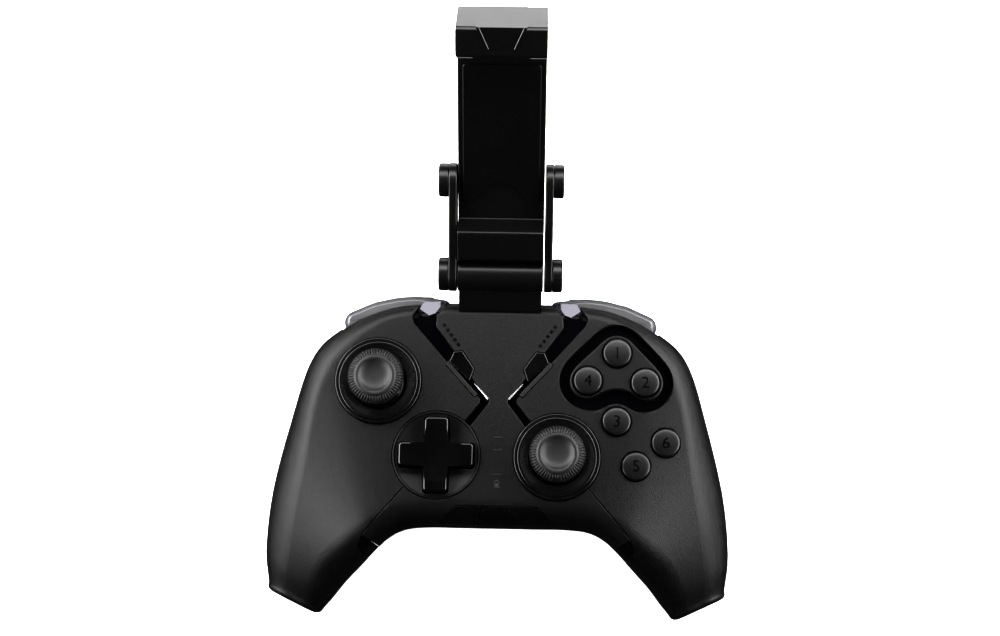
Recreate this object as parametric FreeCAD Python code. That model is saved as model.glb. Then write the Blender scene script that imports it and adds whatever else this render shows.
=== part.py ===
"""Gamepad with a folding phone holder, all sizes in millimetres.

Frame: X to the right, Y to the rear (towards the holder), Z up out of the face.
The origin lies on the flat belly that the pad rests on, in the middle of its width.
"""
import FreeCAD, Part
import math
import os
from FreeCAD import Vector

os.makedirs("parts", exist_ok=True)

# Casing
FACE_Z = 42.0              # top face above the table
BELLY_Z = 10.0             # underside of the middle, round the battery bulge
REAR_Y = 38.4              # rear edge of the middle
FRONT_Y = -35.1            # front edge of the middle
WALL = 2.0                 # casing wall
SKIN_GAP = 0.2             # casing to the inner chassis under it
CHASSIS_T = 1.6            # inner chassis wall
SEAM = 0.2                 # joint between two casing pieces
SEAM_Z = 20.0              # parting plane at y = 0
SEAM_SLOPE = 0.14          # parting plane, rise per mm to the rear
TIP_ROUND = 2.5            # bevel round the tip of each grip
BULGE = (28.0, -12.0, 34.0)   # battery bulge: half width, front, rear
BULGE_BEVEL = 2.5

# Sections of the casing from the middle out along a grip:
# front x, y, rear x, y, top z, bottom z, rear rounding, front rounding
RIBS = [
    (12.0, FRONT_Y, 12.0, REAR_Y, FACE_Z, BELLY_Z, 4.5, 8.0),
    (23.0, FRONT_Y, 25.0, 38.0, FACE_Z, BELLY_Z, 4.5, 8.0),
    (31.0, -36.0, 38.5, 35.9, FACE_Z, 9.0, 5.0, 8.0),
    (37.0, -39.0, 53.5, 29.6, FACE_Z - 0.4, 7.4, 9.0, 8.0),
    (42.2, -44.0, 63.6, 20.2, FACE_Z - 1.7, 4.6, 13.5, 9.0),
    (47.0, -48.9, 70.8, -1.3, FACE_Z - 4.6, 1.8, 16.0, 10.0),
    (51.9, -54.1, 76.3, -23.6, FACE_Z - 9.6, 0.2, 14.5, 10.0),
    (55.9, -59.4, 78.3, -42.8, FACE_Z - 15.6, 0.9, 11.0, 8.0),
    (58.9, -63.3, 77.2, -54.6, FACE_Z - 20.4, 3.4, 8.0, 6.0),
]
UNDER_ROUND = 8.0          # rounding of the underside

# Controls on the face: centres
STICK_L = (-39.8, 11.2)
STICK_R = (19.6, -13.0)
DPAD = (-20.0, -13.0)
BUTTONS = [(39.0, 21.7), (48.3, 12.0), (39.0, -0.9), (29.4, 12.4), (45.5, -15.5), (55.3, -7.5)]
ISLAND_BUTTONS = (0, 3, 1)

# Round buttons
BUTTON_R = 4.65
BUTTON_GAP = 0.25
BUTTON_TOP = FACE_Z + 2.0
BUTTON_CROWN = 0.5
BUTTON_TRAVEL = 1.2
FLANGE_R = 5.6
FLANGE_T = 1.2
FLANGE_GAP = 0.3
ISLAND_R = 6.2
ISLAND_TOP = FACE_Z + 0.5
TRENCH_R = 9.7
TRENCH_NOTCH_R = 6.3       # the trench bends round the lowest button at this radius

# Sticks
DOME_R = 12.0              # gloss dome that closes the opening at every tilt
DOME_T = 1.0
DOME_ANGLE = 66.0
DOME_STEPS = 5
STICK_PIVOT_Z = FACE_Z + 2.5 - DOME_R
CAP_R = 9.1
CAP_TOP = FACE_Z + 14.0
CAP_T = 6.4
CAP_RIM = 3.1              # outside of the cap to the dish
CAP_DISH_R = CAP_R - CAP_RIM
CAP_DISH = 1.3
CAP_RIBS = 56
RIB_DEPTH = 0.4
RING_R = 14.2
RING_RIM = 1.8             # outside of the ring to its inner lip
RING_LIP = RING_R - RING_RIM
RING_TOP = FACE_Z + 1.2
RING_HOLE = 9.4
RING_GAP = 0.15
RING_SEAT = 2.4            # the ring rests on the chassis outside its hole and this ledge
RING_SEAT_Z = FACE_Z - 2.8
POST_R = 1.45
COLLAR_R = 3.8
MODULE_HALF = 8.4
MODULE_TOP = STICK_PIVOT_Z + 1.5
MODULE_CLEAR = 0.8
MODULE_CORNER_R = DOME_R - DOME_T - MODULE_CLEAR   # the corners stay inside the tilted dome
MODULE_WALL = 1.4
GIMBAL_HALF = 5.7
GIMBAL_BORE = 4.0
GIMBAL_T = 3.0
CRADLE_HALF = 3.1
CRADLE_T = 4.0
AXLE_R = 1.0
AXLE_GAP = 0.08
YOKE_AXLE_R = 0.8

# Cross pad
DISC_R = 14.4
DISC_DISH = 1.6
CROSS_HALF = 12.25
ARM_HALF = 3.9
CROSS_TOP = FACE_Z + 3.5
CROSS_GAP = 0.45
CROSS_BASE = FACE_Z - 1.0
CROSS_PIVOT_Z = FACE_Z - 5.5
HUB_R = 4.0
HUB_RING_R = 6.3
HUB_RING_BORE = 4.7
HUB_RING_T = 2.6
PLUNGER_Z = FACE_Z - 9.6
PLUNGER_T = 1.2

# Inside
BOARD_TOP = FACE_Z - 16.0
BOARD_T = 1.6
MEMBRANE_T = 1.0
DOME_KEY_R = 3.4
DOME_KEY_T = 2.0
KEY_FOOT_Z = BOARD_TOP + 4.4   # underside of the plungers at rest
SCREWS = [(-67.0, -22.0), (67.0, -22.0), (-60.5, 4.0), (60.5, 4.0),
          (-27.5, -29.0), (27.5, -29.0), (-12.5, 29.0), (12.5, 29.0)]
SCREW_R = 1.25
SCREW_HEAD_R = 2.4
SCREW_HEAD_T = 1.8
SCREW_SEAT_Z = 14.0
SCREW_TIP_Z = 30.5
BOSS_R = 2.6
POST_BOSS_R = 3.7

# Triggers and bumpers
TRIGGER_X = (23.0, 51.5)
TRIGGER_PIVOT = (25.0, 19.5)
TRIGGER_HUB_R = 3.2
TRIGGER_PIN_R = 1.3
TRIGGER_GAP = 0.6
FINGER_BEND = [(TRIGGER_X[0], 0.0), (35.0, 0.0), (43.0, -2.5), (TRIGGER_X[1], -7.7)]   # x, wall drawn in by
FINGER_BACK = [(44.6, 24.4), (43.4, 15.0), (45.2, 7.4)]     # (y, z) from the top to the tip
FINGER_TIP = (44.0, 5.8)
FINGER_FRONT = [(42.4, 6.6), (40.8, 13.0), (40.6, 19.4)]
ARM_TOP = [(33.0, 24.4, 0.3), (43.4, 25.8, 1.0)]            # (y, z, share of the bend)
ARM_ROOT = [(30.5, 17.2, 0.1), (37.6, 20.0, 0.8)]
POCKET_Y = 34.0             # the floor of the casing ends here, in front of the finger walls
ARM_FLOOR_Z = 12.5          # the trigger arm passes the wall above this
BUMPER_Z = (27.6, 36.6)
BUMPER_GAP = 0.5
BUMPER_BEVEL = 1.4
BUMPER_FIRST_OUTER = 7      # outline points from here on lie on the outer edge
BUMPER_PIVOT = (19.5, 33.5)
BUMPER_PIN_R = 1.0

# Phone holder
HINGE_Y, HINGE_Z = 46.4, 48.0
LINK_SLOPE = 25.0
LINK_LEN = 31.5
BARREL_R = 5.4
BARREL_HALF = 14.1
LINK_GAP = 0.25            # barrel to each link
LINK_IN = BARREL_HALF + LINK_GAP
LINK_T = 2.7
LINK_R = 5.6
LINK_HALF = 4.9            # half height of a link between its round ends
KNOB_R = 5.5
KNOB_T = 3.3
KNOB_GAP = 0.05
KNOB_X = LINK_IN + LINK_T + KNOB_GAP
BOLT_R = 2.0
BOLT_DEPTH = 3.5           # the pivot bolts enter the barrel and the plate this far
BOLT_IN = BARREL_HALF - BOLT_DEPTH
FOOT_GAP = 0.3             # foot to the rear wall of the casing
FOOT_T = 3.5
FOOT_LOW_Z = 27.4
PLATE_SLOPE = 40.0
PLATE_GAP = 0.3            # clamp plate to each link
PLATE_HALF = LINK_IN - PLATE_GAP
PLATE_BACK = -5.0
PLATE_FRONT = 3.2
PAD_T = 0.8
PAD_MARGIN = 1.65
PAD = (-5.6, 42.0, PLATE_HALF - PAD_MARGIN)   # pad: lower end, upper end, half width
SHELF_U = -12.2
JAW_CLEAR = 2.8            # lower jaw to the barrel of the lower hinge
LIP_END_U = JAW_CLEAR + BARREL_R - LINK_LEN
JAW_N = 13.0
PLATE_END_U = 47.6
JAW_GAP = 0.4              # closed upper jaw to the end of the plate
JAW_T = 10.0
UPPER_JAW = (PLATE_END_U + JAW_GAP, PLATE_END_U + JAW_GAP + JAW_T, 14.0)   # underside, top, reach
SLIDE_HALF = 9.0
SLIDE_N = (-3.0, -1.0)
SLIDE_GAP = 0.3
SLIDE_FOOT_U = -9.0


def poly(points, z0, z1):
    """Prism over a closed polygon in plan."""
    wire = Part.makePolygon([Vector(x, y, z0) for x, y in points + points[:1]])
    return Part.Face(wire).extrude(Vector(0, 0, z1 - z0))


def disc(x, y, r, z0, z1):
    """Upright cylinder."""
    return Part.makeCylinder(r, z1 - z0, Vector(x, y, z0))


def block(x0, x1, y0, y1, z0, z1):
    """Box between two corners."""
    return Part.makeBox(x1 - x0, y1 - y0, z1 - z0, Vector(x0, y0, z0))


def turned(profile, x, y, z=0.0):
    """Solid of revolution about an upright axis, from (radius, height) points."""
    wire = Part.makePolygon([Vector(r, 0, h) for r, h in profile + profile[:1]])
    solid = Part.Face(wire).revolve(Vector(0, 0, 0), Vector(0, 0, 1), 360)
    solid.translate(Vector(x, y, z))
    return solid


def flip(shape):
    """The same piece on the other side of the pad."""
    return shape.mirror(Vector(0, 0, 0), Vector(1, 0, 0))


def fuse(*shapes):
    """One solid from overlapping ones."""
    return shapes[0].multiFuse(list(shapes[1:])).removeSplitter()


def save(node, *shapes):
    """Write one sub-part."""
    shape = shapes[0] if len(shapes) == 1 else Part.makeCompound(list(shapes))
    shape.exportStep("parts/" + node + ".step")
    print(node, len(shape.Solids), round(shape.Volume, 1), shape.isValid())


def seam_z(y):
    """Height of the parting plane."""
    return SEAM_Z + SEAM_SLOPE * y


def section(rib, side, inset, facets, end=0.0):
    """One closed section of the casing; facets replaces its arcs by that many chords."""
    xi, yi, xo, yo, top, bottom, r_rear, r_front = rib
    length = math.hypot(xo - xi, yo - yi)
    ux, uy = (xo - xi) / length, (yo - yi) / length
    xi, yi = xi + uy * end, yi - ux * end
    a, b = inset, length - inset
    top, bottom = top - inset, bottom + inset
    z_rear, z_front = seam_z(yo), seam_z(yi)

    def at(s, z):
        return Vector(side * (xi + ux * s), yi + uy * s, z)

    def corner(s, z, r, start):
        pts = [(s + r * math.cos(math.radians(start + t)), z + r * math.sin(math.radians(start + t)))
               for t in (0.0, 45.0, 90.0)]
        if facets:
            steps = [start + 90.0 * k / facets for k in range(facets + 1)]
            ring = [at(s + r * math.cos(math.radians(t)), z + r * math.sin(math.radians(t))) for t in steps]
            return [Part.makeLine(p, q) for p, q in zip(ring, ring[1:])]
        return [Part.Arc(*[at(*p) for p in pts]).toShape()]

    rt, ft = max(r_rear - inset, 1.0), max(r_front - inset, 1.0)
    ru = min(UNDER_ROUND, z_rear - bottom - 1.0 + inset, z_front - bottom - 1.0 + inset) - inset
    edges = [Part.makeLine(at(b, z_rear), at(b, top - rt))]
    edges += corner(b - rt, top - rt, rt, 0.0)
    edges += [Part.makeLine(at(b - rt, top), at(a + ft, top))]
    edges += corner(a + ft, top - ft, ft, 90.0)
    edges += [Part.makeLine(at(a, top - ft), at(a, z_front)), Part.makeLine(at(a, z_front), at(a, bottom + ru))]
    edges += corner(a + ru, bottom + ru, ru, 180.0)
    edges += [Part.makeLine(at(a + ru, bottom), at(b - ru, bottom))]
    edges += corner(b - ru, bottom + ru, ru, 270.0)
    edges += [Part.makeLine(at(b, bottom + ru), at(b, z_rear))]
    return Part.Wire(edges)


def casing(inset, facets=0):
    """The whole pad body, drawn in by inset; round corners unless facets is set."""
    rows = {}
    for side in (-1, 1):
        row = [section(rib, side, inset, facets) for rib in RIBS]
        row.append(section(RIBS[-1], side, inset + TIP_ROUND, facets, TIP_ROUND - inset))
        rows[side] = row
    return Part.makeLoft(rows[-1][::-1] + rows[1], True, True)


def above(offset):
    """Half space over the parting plane."""
    box = Part.makeBox(400, 400, 200, Vector(-200, -200, 0))
    box.rotate(Vector(0, 0, 0), Vector(1, 0, 0), math.degrees(math.atan(SEAM_SLOPE)))
    box.translate(Vector(0, 0, SEAM_Z + offset))
    return box


def rounded_hull(centres, r, z0, z1):
    """Prism round circles of one radius at the corners of a convex outline, given anticlockwise."""
    parts = [poly(centres, z0, z1)]
    for (x0, y0), (x1, y1) in zip(centres, centres[1:] + centres[:1]):
        length = math.hypot(x1 - x0, y1 - y0)
        nx, ny = (y1 - y0) / length * r, (x0 - x1) / length * r
        parts.append(poly([(x0, y0), (x0 + nx, y0 + ny), (x1 + nx, y1 + ny), (x1, y1)], z0, z1))
        parts.append(disc(x0, y0, r, z0, z1))
    return fuse(*parts)


def grow(points, d):
    """Convex outline, given anticlockwise, moved out by d on every side."""
    out = []
    n = len(points)
    for i in range(n):
        (x0, y0), (x1, y1), (x2, y2) = points[i - 1], points[i], points[(i + 1) % n]
        a = Vector(y1 - y0, x0 - x1, 0).normalize()
        b = Vector(y2 - y1, x1 - x2, 0).normalize()
        k = d / (1.0 + a.dot(b))
        out.append((x1 + (a.x + b.x) * k, y1 + (a.y + b.y) * k))
    return out


# Outlines in plan, right side; the left side mirrors them
CHANNEL_OUT = [(26.6, 38.1), (27.1, 36.5), (29.4, 33.2), (28.5, 30.8), (17.1, 17.8), (5.5, 5.3), (10.9, -1.5)]
CHANNEL_IN = [(17.0, 38.0), (20.9, 33.6), (21.3, 30.1), (15.0, 21.6), (8.0, 11.6), (2.6, 5.3), (9.5, -3.8)]
SIDE_SEAM = [(31.0, -24.2), (43.8, -39.0), (42.6, -44.5)]
HEX_KEY = [(16.3, 18.1), (15.3, 21.1), (12.7, 21.6), (11.0, 20.6), (8.3, 15.3), (9.5, 11.6)]
EDGE_TRIM = [(17.9, 17.4), (16.9, 18.3), (6.9, 7.3), (7.9, 6.5)]
GRIP_INSERT = [(43.9, -39.4), (45.6, -42.6), (43.6, -46.6), (38.6, -42.6), (41.4, -41.0)]
MENU_L = [(-13.2, -29.6), (-20.4, -36.6), (-6.9, -36.6), (-4.9, -29.6)]
MENU_M = [(-4.3, -29.6), (-6.3, -36.6), (6.3, -36.6), (4.3, -29.6)]
MENU_R = [(x * -1, y) for x, y in MENU_L][::-1]
MENU_FLOOR_Z = FACE_Z - 7.2
MENU_GAP = 0.2
HEX_GAP = 0.15
LIGHTS = [-6.7, -10.9, -18.9]
LIGHT_HALF = (1.7, 0.3)
FAR = 120.0

side_region = poly([(26.6, FAR)] + CHANNEL_OUT + SIDE_SEAM + [(38.0, -52.0), (38.0, -FAR), (FAR, -FAR), (FAR, FAR)],
                   0, 60)
right_mid = [(17.0, FAR)] + CHANNEL_IN + [(x - SEAM, y - SEAM) for x, y in SIDE_SEAM] + [(36.0, -52.0), (36.0, -FAR)]
mid_region = poly(right_mid + [(-x, y) for x, y in right_mid[::-1]], 0, 60)

outer = casing(0.0)
shell = outer.cut(casing(WALL, 2))
lid = shell.common(above(SEAM / 2))
tray = shell.cut(above(-SEAM / 2))


def bosses(points, r, z0, z1):
    """Round posts at several places."""
    return [disc(x, y, r, z0, z1) for x, y in points]


def button_holes(indexes, gap, z0, z1):
    """Round holes for the face buttons."""
    return [disc(BUTTONS[i][0], BUTTONS[i][1], BUTTON_R + gap, z0, z1) for i in indexes]


BUMPER_OUTLINE = [(17.0, 31.0), (22.5, 31.0), (22.5, 35.6), (31.0, 36.2), (40.0, 34.0), (47.4, 30.4), (50.6, 27.6),
                  (53.2, 32.4), (52.2, 35.9), (42.8, 40.3), (35.0, 42.1), (28.4, 42.8), (18.3, 41.2), (17.0, 40.2)]
BUMPER_POCKET = [(16.4, 30.4), (23.1, 30.4), (23.1, 33.0), (31.0, 33.4), (39.0, 31.4), (46.0, 28.0), (49.4, 25.0),
                 (51.6, 25.0), (FAR, 32.0), (FAR, FAR), (16.4, FAR)]


def pockets(side):
    """Room for one bumper and one trigger in the rear corner."""
    bumper = poly(BUMPER_POCKET, BUMPER_Z[0] - BUMPER_GAP, BUMPER_Z[1] + BUMPER_GAP)
    x0, x1 = TRIGGER_X[0] - TRIGGER_GAP, TRIGGER_X[1] + TRIGGER_GAP
    trigger = block(x0, x1, POCKET_Y, FAR, -5.0, BUMPER_Z[0])
    arm = poly([(x0, POCKET_Y), (38.0, 33.0), (46.0, 28.0), (x1, 26.0), (x1, FAR), (x0, FAR)], ARM_FLOOR_Z, BUMPER_Z[0])
    cut = fuse(bumper, trigger, arm)
    return cut if side > 0 else flip(cut)


rear_cut = pockets(1).fuse(pockets(-1))
lid = lid.cut(rear_cut)
tray = tray.cut(rear_cut)


def trench(gap, z0, z1):
    """Sunken outline round the three upper buttons, with a notch round the lowest one."""
    centres = [BUTTONS[i] for i in (3, 1, 0)]
    hull = rounded_hull(centres, TRENCH_R + gap, z0, z1)
    return hull.cut(disc(BUTTONS[2][0], BUTTONS[2][1], TRENCH_NOTCH_R - gap, z0, z1))


def side_panel(side):
    """Face panel over one grip."""
    region = side_region if side > 0 else flip(side_region)
    panel = lid.common(region)
    spots = [(x, y) for x, y in SCREWS if x * side > 40]
    posts = fuse(*bosses(spots, BOSS_R, BOARD_TOP - BOARD_T + SEAM, 60.0)).common(casing(WALL / 2, 2))
    bores = Part.makeCompound(bosses(spots, SCREW_R + 0.05, 0.0, SCREW_TIP_Z + 1.0))
    panel = panel.fuse(posts).cut(bores)
    holes = [disc(*DPAD, DISC_R + RING_GAP, 0, 60), disc(*STICK_R, RING_R + RING_GAP, 0, 60),
             disc(*STICK_L, RING_R + RING_GAP, 0, 60)]
    insert = poly(GRIP_INSERT, 0, 60)
    trim = poly(grow(EDGE_TRIM, 0.1), 0, 60)
    if side > 0:
        holes += [trench(0.0, 30, 60)] + button_holes((2, 4, 5), BUTTON_GAP, 0, 60)
    panel = panel.cut(holes + [insert if side > 0 else flip(insert), trim if side > 0 else flip(trim)])
    return max(panel.Solids, key=lambda s: s.Volume)


def menu_keys(gap):
    """Outlines of the three front keys, grown by a gap."""
    return [poly(grow(points, gap), MENU_FLOOR_Z - gap * 6, 60) for points in (MENU_L, MENU_M, MENU_R)]


TONGUE = (8.0, 34.8, 31.4, 33.4)   # clip of the phone holder: half width, tip, underside, top


def tongue(gap):
    """Clip of the phone holder that enters the rear wall, grown by a gap."""
    half, tip, low, high = TONGUE
    return block(-half - gap, half + gap, tip - gap, REAR_Y + 1.0, low - gap, high + gap)


def mid_panel():
    """Face panel between the two channels."""
    spots = [(x, y) for x, y in SCREWS if abs(x) < 40]
    panel = lid.common(mid_region)
    posts = [disc(x, y, BOSS_R, BOARD_TOP - BOARD_T + SEAM, FACE_Z - WALL / 2) for x, y in spots]
    panel = panel.fuse(posts)
    cuts = bosses(spots, SCREW_R + 0.05, 0.0, SCREW_TIP_Z + 1.0) + [tongue(0.2)]
    cuts += [disc(*DPAD, DISC_R + RING_GAP, 0, 60), disc(*STICK_R, RING_R + RING_GAP, 0, 60)]
    hex_hole = poly(grow(HEX_KEY, HEX_GAP), 0, 60)
    insert = poly(GRIP_INSERT, 0, 60)
    cuts += [hex_hole, flip(hex_hole), insert, flip(insert)] + menu_keys(MENU_GAP)
    cuts += [block(-LIGHT_HALF[0], LIGHT_HALF[0], y - LIGHT_HALF[1], y + LIGHT_HALF[1], 30, 60) for y in LIGHTS]
    panel = panel.cut(cuts)
    return max(panel.Solids, key=lambda s: s.Volume)


left_panel, right_panel, centre_panel = side_panel(-1), side_panel(1), mid_panel()
save("left_face_panel", left_panel)
save("right_face_panel", right_panel)
save("centre_face_panel", centre_panel)


# Lower casing
PADDLE_AT = (41.0, -17.0, 122.0)   # rear key on the right: centre and angle of its long side
PADDLE = (17.0, 6.4)
PADDLE_GAP = 0.3
PADDLE_Z = (4.8, 12.4)
PADDLE_FLANGE_T = 1.0
SWITCH_Y = -22.0
SWITCH_SLOT = (5.0, 2.0)
PORT = (4.5, 1.6, 7.2)             # charging socket: half width, half height, depth
PORT_Z = 22.5
PORT_WALL = 0.4
LUG_T = 1.8
MOTOR = (60.5, -35.0, 15.5)
MOTOR_R = 5.0
MOTOR_LEN = 11.0
BATTERY = (23.0, -7.0, 24.6, 7.0)   # half width, front, rear, thickness
TRIGGER_LUG_R = 3.4


def bulge(inset):
    """Battery bulge under the belly, with bevelled lower edges."""
    half, y0, y1 = BULGE
    low = block(-half + inset, half - inset, y0 + inset, y1 - inset, inset, BELLY_Z + WALL)
    edges = [e for e in low.Edges if max(v.Z for v in e.Vertexes) < inset + 0.01]
    return low.makeChamfer(BULGE_BEVEL, edges)


def paddle_outline(gap):
    """Plan outline of the rear key on the right."""
    x, y, angle = PADDLE_AT
    c, s = math.cos(math.radians(angle)), math.sin(math.radians(angle))
    half, wide = PADDLE[0] / 2 + gap, PADDLE[1] / 2 + gap
    nose = wide * 0.6
    pts = [(-half, 0), (-half + nose, -wide), (half - nose, -wide), (half, 0), (half - nose, wide), (-half + nose, wide)]
    return [(x + a * c - b * s, y + a * s + b * c) for a, b in pts]


def lower_casing():
    """Tray under the parting plane, with the bulge, screw wells, trigger lugs and motor cradles."""
    body = tray.fuse(bulge(0.0)).cut(bulge(WALL))
    inner = casing(WALL / 2, 2)
    posts = Part.makeCompound(bosses(SCREWS, POST_BOSS_R, 0.0, BOARD_TOP - BOARD_T))
    adds = list(posts.common(outer.fuse(bulge(0.0))).Solids)
    x0, x1 = TRIGGER_X
    for side in (-1, 1):
        for a in (x0 - TRIGGER_GAP - 0.1 - LUG_T, x1 + TRIGGER_GAP + 0.1):
            lug = block(a, a + LUG_T, TRIGGER_PIVOT[0] - TRIGGER_LUG_R, TRIGGER_PIVOT[0] + TRIGGER_LUG_R,
                        0.0, TRIGGER_PIVOT[1] + TRIGGER_LUG_R)
            adds.append((lug if side > 0 else flip(lug)).common(inner))
        adds.append(disc(side * BUMPER_PIVOT[0], BUMPER_PIVOT[1], BUMPER_PIN_R + 1.4, BELLY_Z + WALL / 2,
                         BUMPER_Z[0] - 0.2))
        mx, my, mz = MOTOR
        cradle = block(mx - 3.5, mx + 3.5, my - MOTOR_R - 1.5, my + MOTOR_R + 1.5, 0.5, mz - 0.5)
        cradle = cradle.common(inner)
        adds.append(cradle if side > 0 else flip(cradle))
    body = body.multiFuse(adds)
    cuts = bosses(SCREWS, SCREW_R + 0.15, -5.0, 40.0) + bosses(SCREWS, SCREW_HEAD_R + 0.3, -5.0, SCREW_SEAT_Z)
    for side in (-1, 1):
        pin = Part.makeCylinder(TRIGGER_PIN_R + 0.02, 60, Vector(10, TRIGGER_PIVOT[0], TRIGGER_PIVOT[1]),
                                Vector(1, 0, 0))
        motor = Part.makeCylinder(MOTOR_R + 0.1, 60, Vector(MOTOR[0] - 30, MOTOR[1], MOTOR[2]), Vector(1, 0, 0))
        hole = poly(paddle_outline(PADDLE_GAP), -5.0, 16.0)
        cuts += [s if side > 0 else flip(s) for s in (pin, motor.common(block(40, 75, -60, 0, 5, 40)), hole)]
        cuts.append(disc(side * BUMPER_PIVOT[0], BUMPER_PIVOT[1], BUMPER_PIN_R + 0.02, BUMPER_Z[0] - 8.0, 40.0))
    cuts.append(block(-SWITCH_SLOT[0], SWITCH_SLOT[0], SWITCH_Y - SWITCH_SLOT[1], SWITCH_Y + SWITCH_SLOT[1], 5, 15))
    cuts.append(block(-PORT[0] - 0.3, PORT[0] + 0.3, 30.0, 50.0, PORT_Z - PORT[1] - 0.3, PORT_Z + PORT[1] + 0.3))
    insert = poly(GRIP_INSERT, 0, 60)
    cuts += [insert, flip(insert)]
    body = body.cut(cuts)
    return max(body.Solids, key=lambda s: s.Volume)


bottom = lower_casing()
save("bottom_casing", bottom)

# Inner chassis: the gloss skin that shows in the channels, the trench and round the sticks
CHASSIS_X = 58.0
CHASSIS_LOW_Z = 33.0
CHASSIS_TOP = FACE_Z - WALL - SKIN_GAP
CHASSIS_BOTTOM = CHASSIS_TOP - CHASSIS_T


def cross_prism(half, arm, z0, z1):
    """Plus shape at the cross pad's centre."""
    x, y = DPAD
    wide = block(x - half, x + half, y - arm, y + arm, z0, z1)
    tall = block(x - arm, x + arm, y - half, y + half, z0, z1)
    return fuse(wide, tall)


def chassis():
    """Inner chassis with its holes and the lugs that carry the cross pad."""
    skin = casing(WALL + SKIN_GAP, 2).cut(casing(WALL + SKIN_GAP + CHASSIS_T, 2))
    zone = block(-CHASSIS_X, CHASSIS_X, -50, 60, CHASSIS_LOW_Z, 60)
    body = skin.common(zone).cut(rear_cut)
    dx, dy = DPAD
    for s in (-1, 1):
        lug = block(dx + s * 8.3 - 1.0, dx + s * 8.3 + 1.0, dy - 1.8, dy + 1.8, CROSS_PIVOT_Z - 1.6, CHASSIS_BOTTOM + 0.2)
        body = body.fuse(lug)
    cuts = [disc(x, y, RING_HOLE + RING_SEAT, 20, 60) for x, y in (STICK_L, STICK_R)] + [tongue(0.2)]
    cuts += [disc(x, y, RING_R + RING_GAP, RING_SEAT_Z, 60) for x, y in (STICK_L, STICK_R)]
    cuts += button_holes(range(len(BUTTONS)), BUTTON_GAP, 20, 60)
    cuts += bosses(SCREWS, BOSS_R + 0.3, 20, 60)
    cuts.append(disc(dx, dy, HUB_RING_R + 0.6, 20, 60))
    cuts.append(Part.makeCylinder(YOKE_AXLE_R + AXLE_GAP, 30, Vector(dx - 15, dy, CROSS_PIVOT_Z), Vector(1, 0, 0)))
    hex_hole = poly(grow(HEX_KEY, HEX_GAP), 20, 60)
    cuts += [hex_hole, flip(hex_hole)]
    low = MENU_FLOOR_Z - MENU_GAP * 6
    cuts.append(poly([(-22.0, -40.0), (22.0, -40.0), (14.4, -29.0), (-14.4, -29.0)], low - 1.0, 60))
    cuts += [block(-LIGHT_HALF[0] - 0.1, LIGHT_HALF[0] + 0.1, y - LIGHT_HALF[1] - 0.1, y + LIGHT_HALF[1] + 0.1, 20, 60)
             for y in LIGHTS]
    body = body.cut(cuts)
    return max(body.Solids, key=lambda s: s.Volume)


save("inner_chassis", chassis())

island = rounded_hull([BUTTONS[i] for i in (3, 1, 0)], ISLAND_R, CHASSIS_TOP, ISLAND_TOP)
island = island.cut([disc(BUTTONS[2][0], BUTTONS[2][1], TRENCH_NOTCH_R + 4.4, 30, 60)]
                    + button_holes(ISLAND_BUTTONS, BUTTON_GAP, 30, 60))
save("button_island", island)

trim = poly(EDGE_TRIM, CHASSIS_TOP, FACE_Z + 0.1)
insert = casing(0.15).common(poly(grow(GRIP_INSERT[::-1], -0.15), 0, 60)).cut(casing(WALL, 2))
insert = max(insert.Solids, key=lambda s: s.Volume)
save("edge_trims", flip(trim), trim)
save("grip_inserts", flip(insert), insert)


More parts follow.
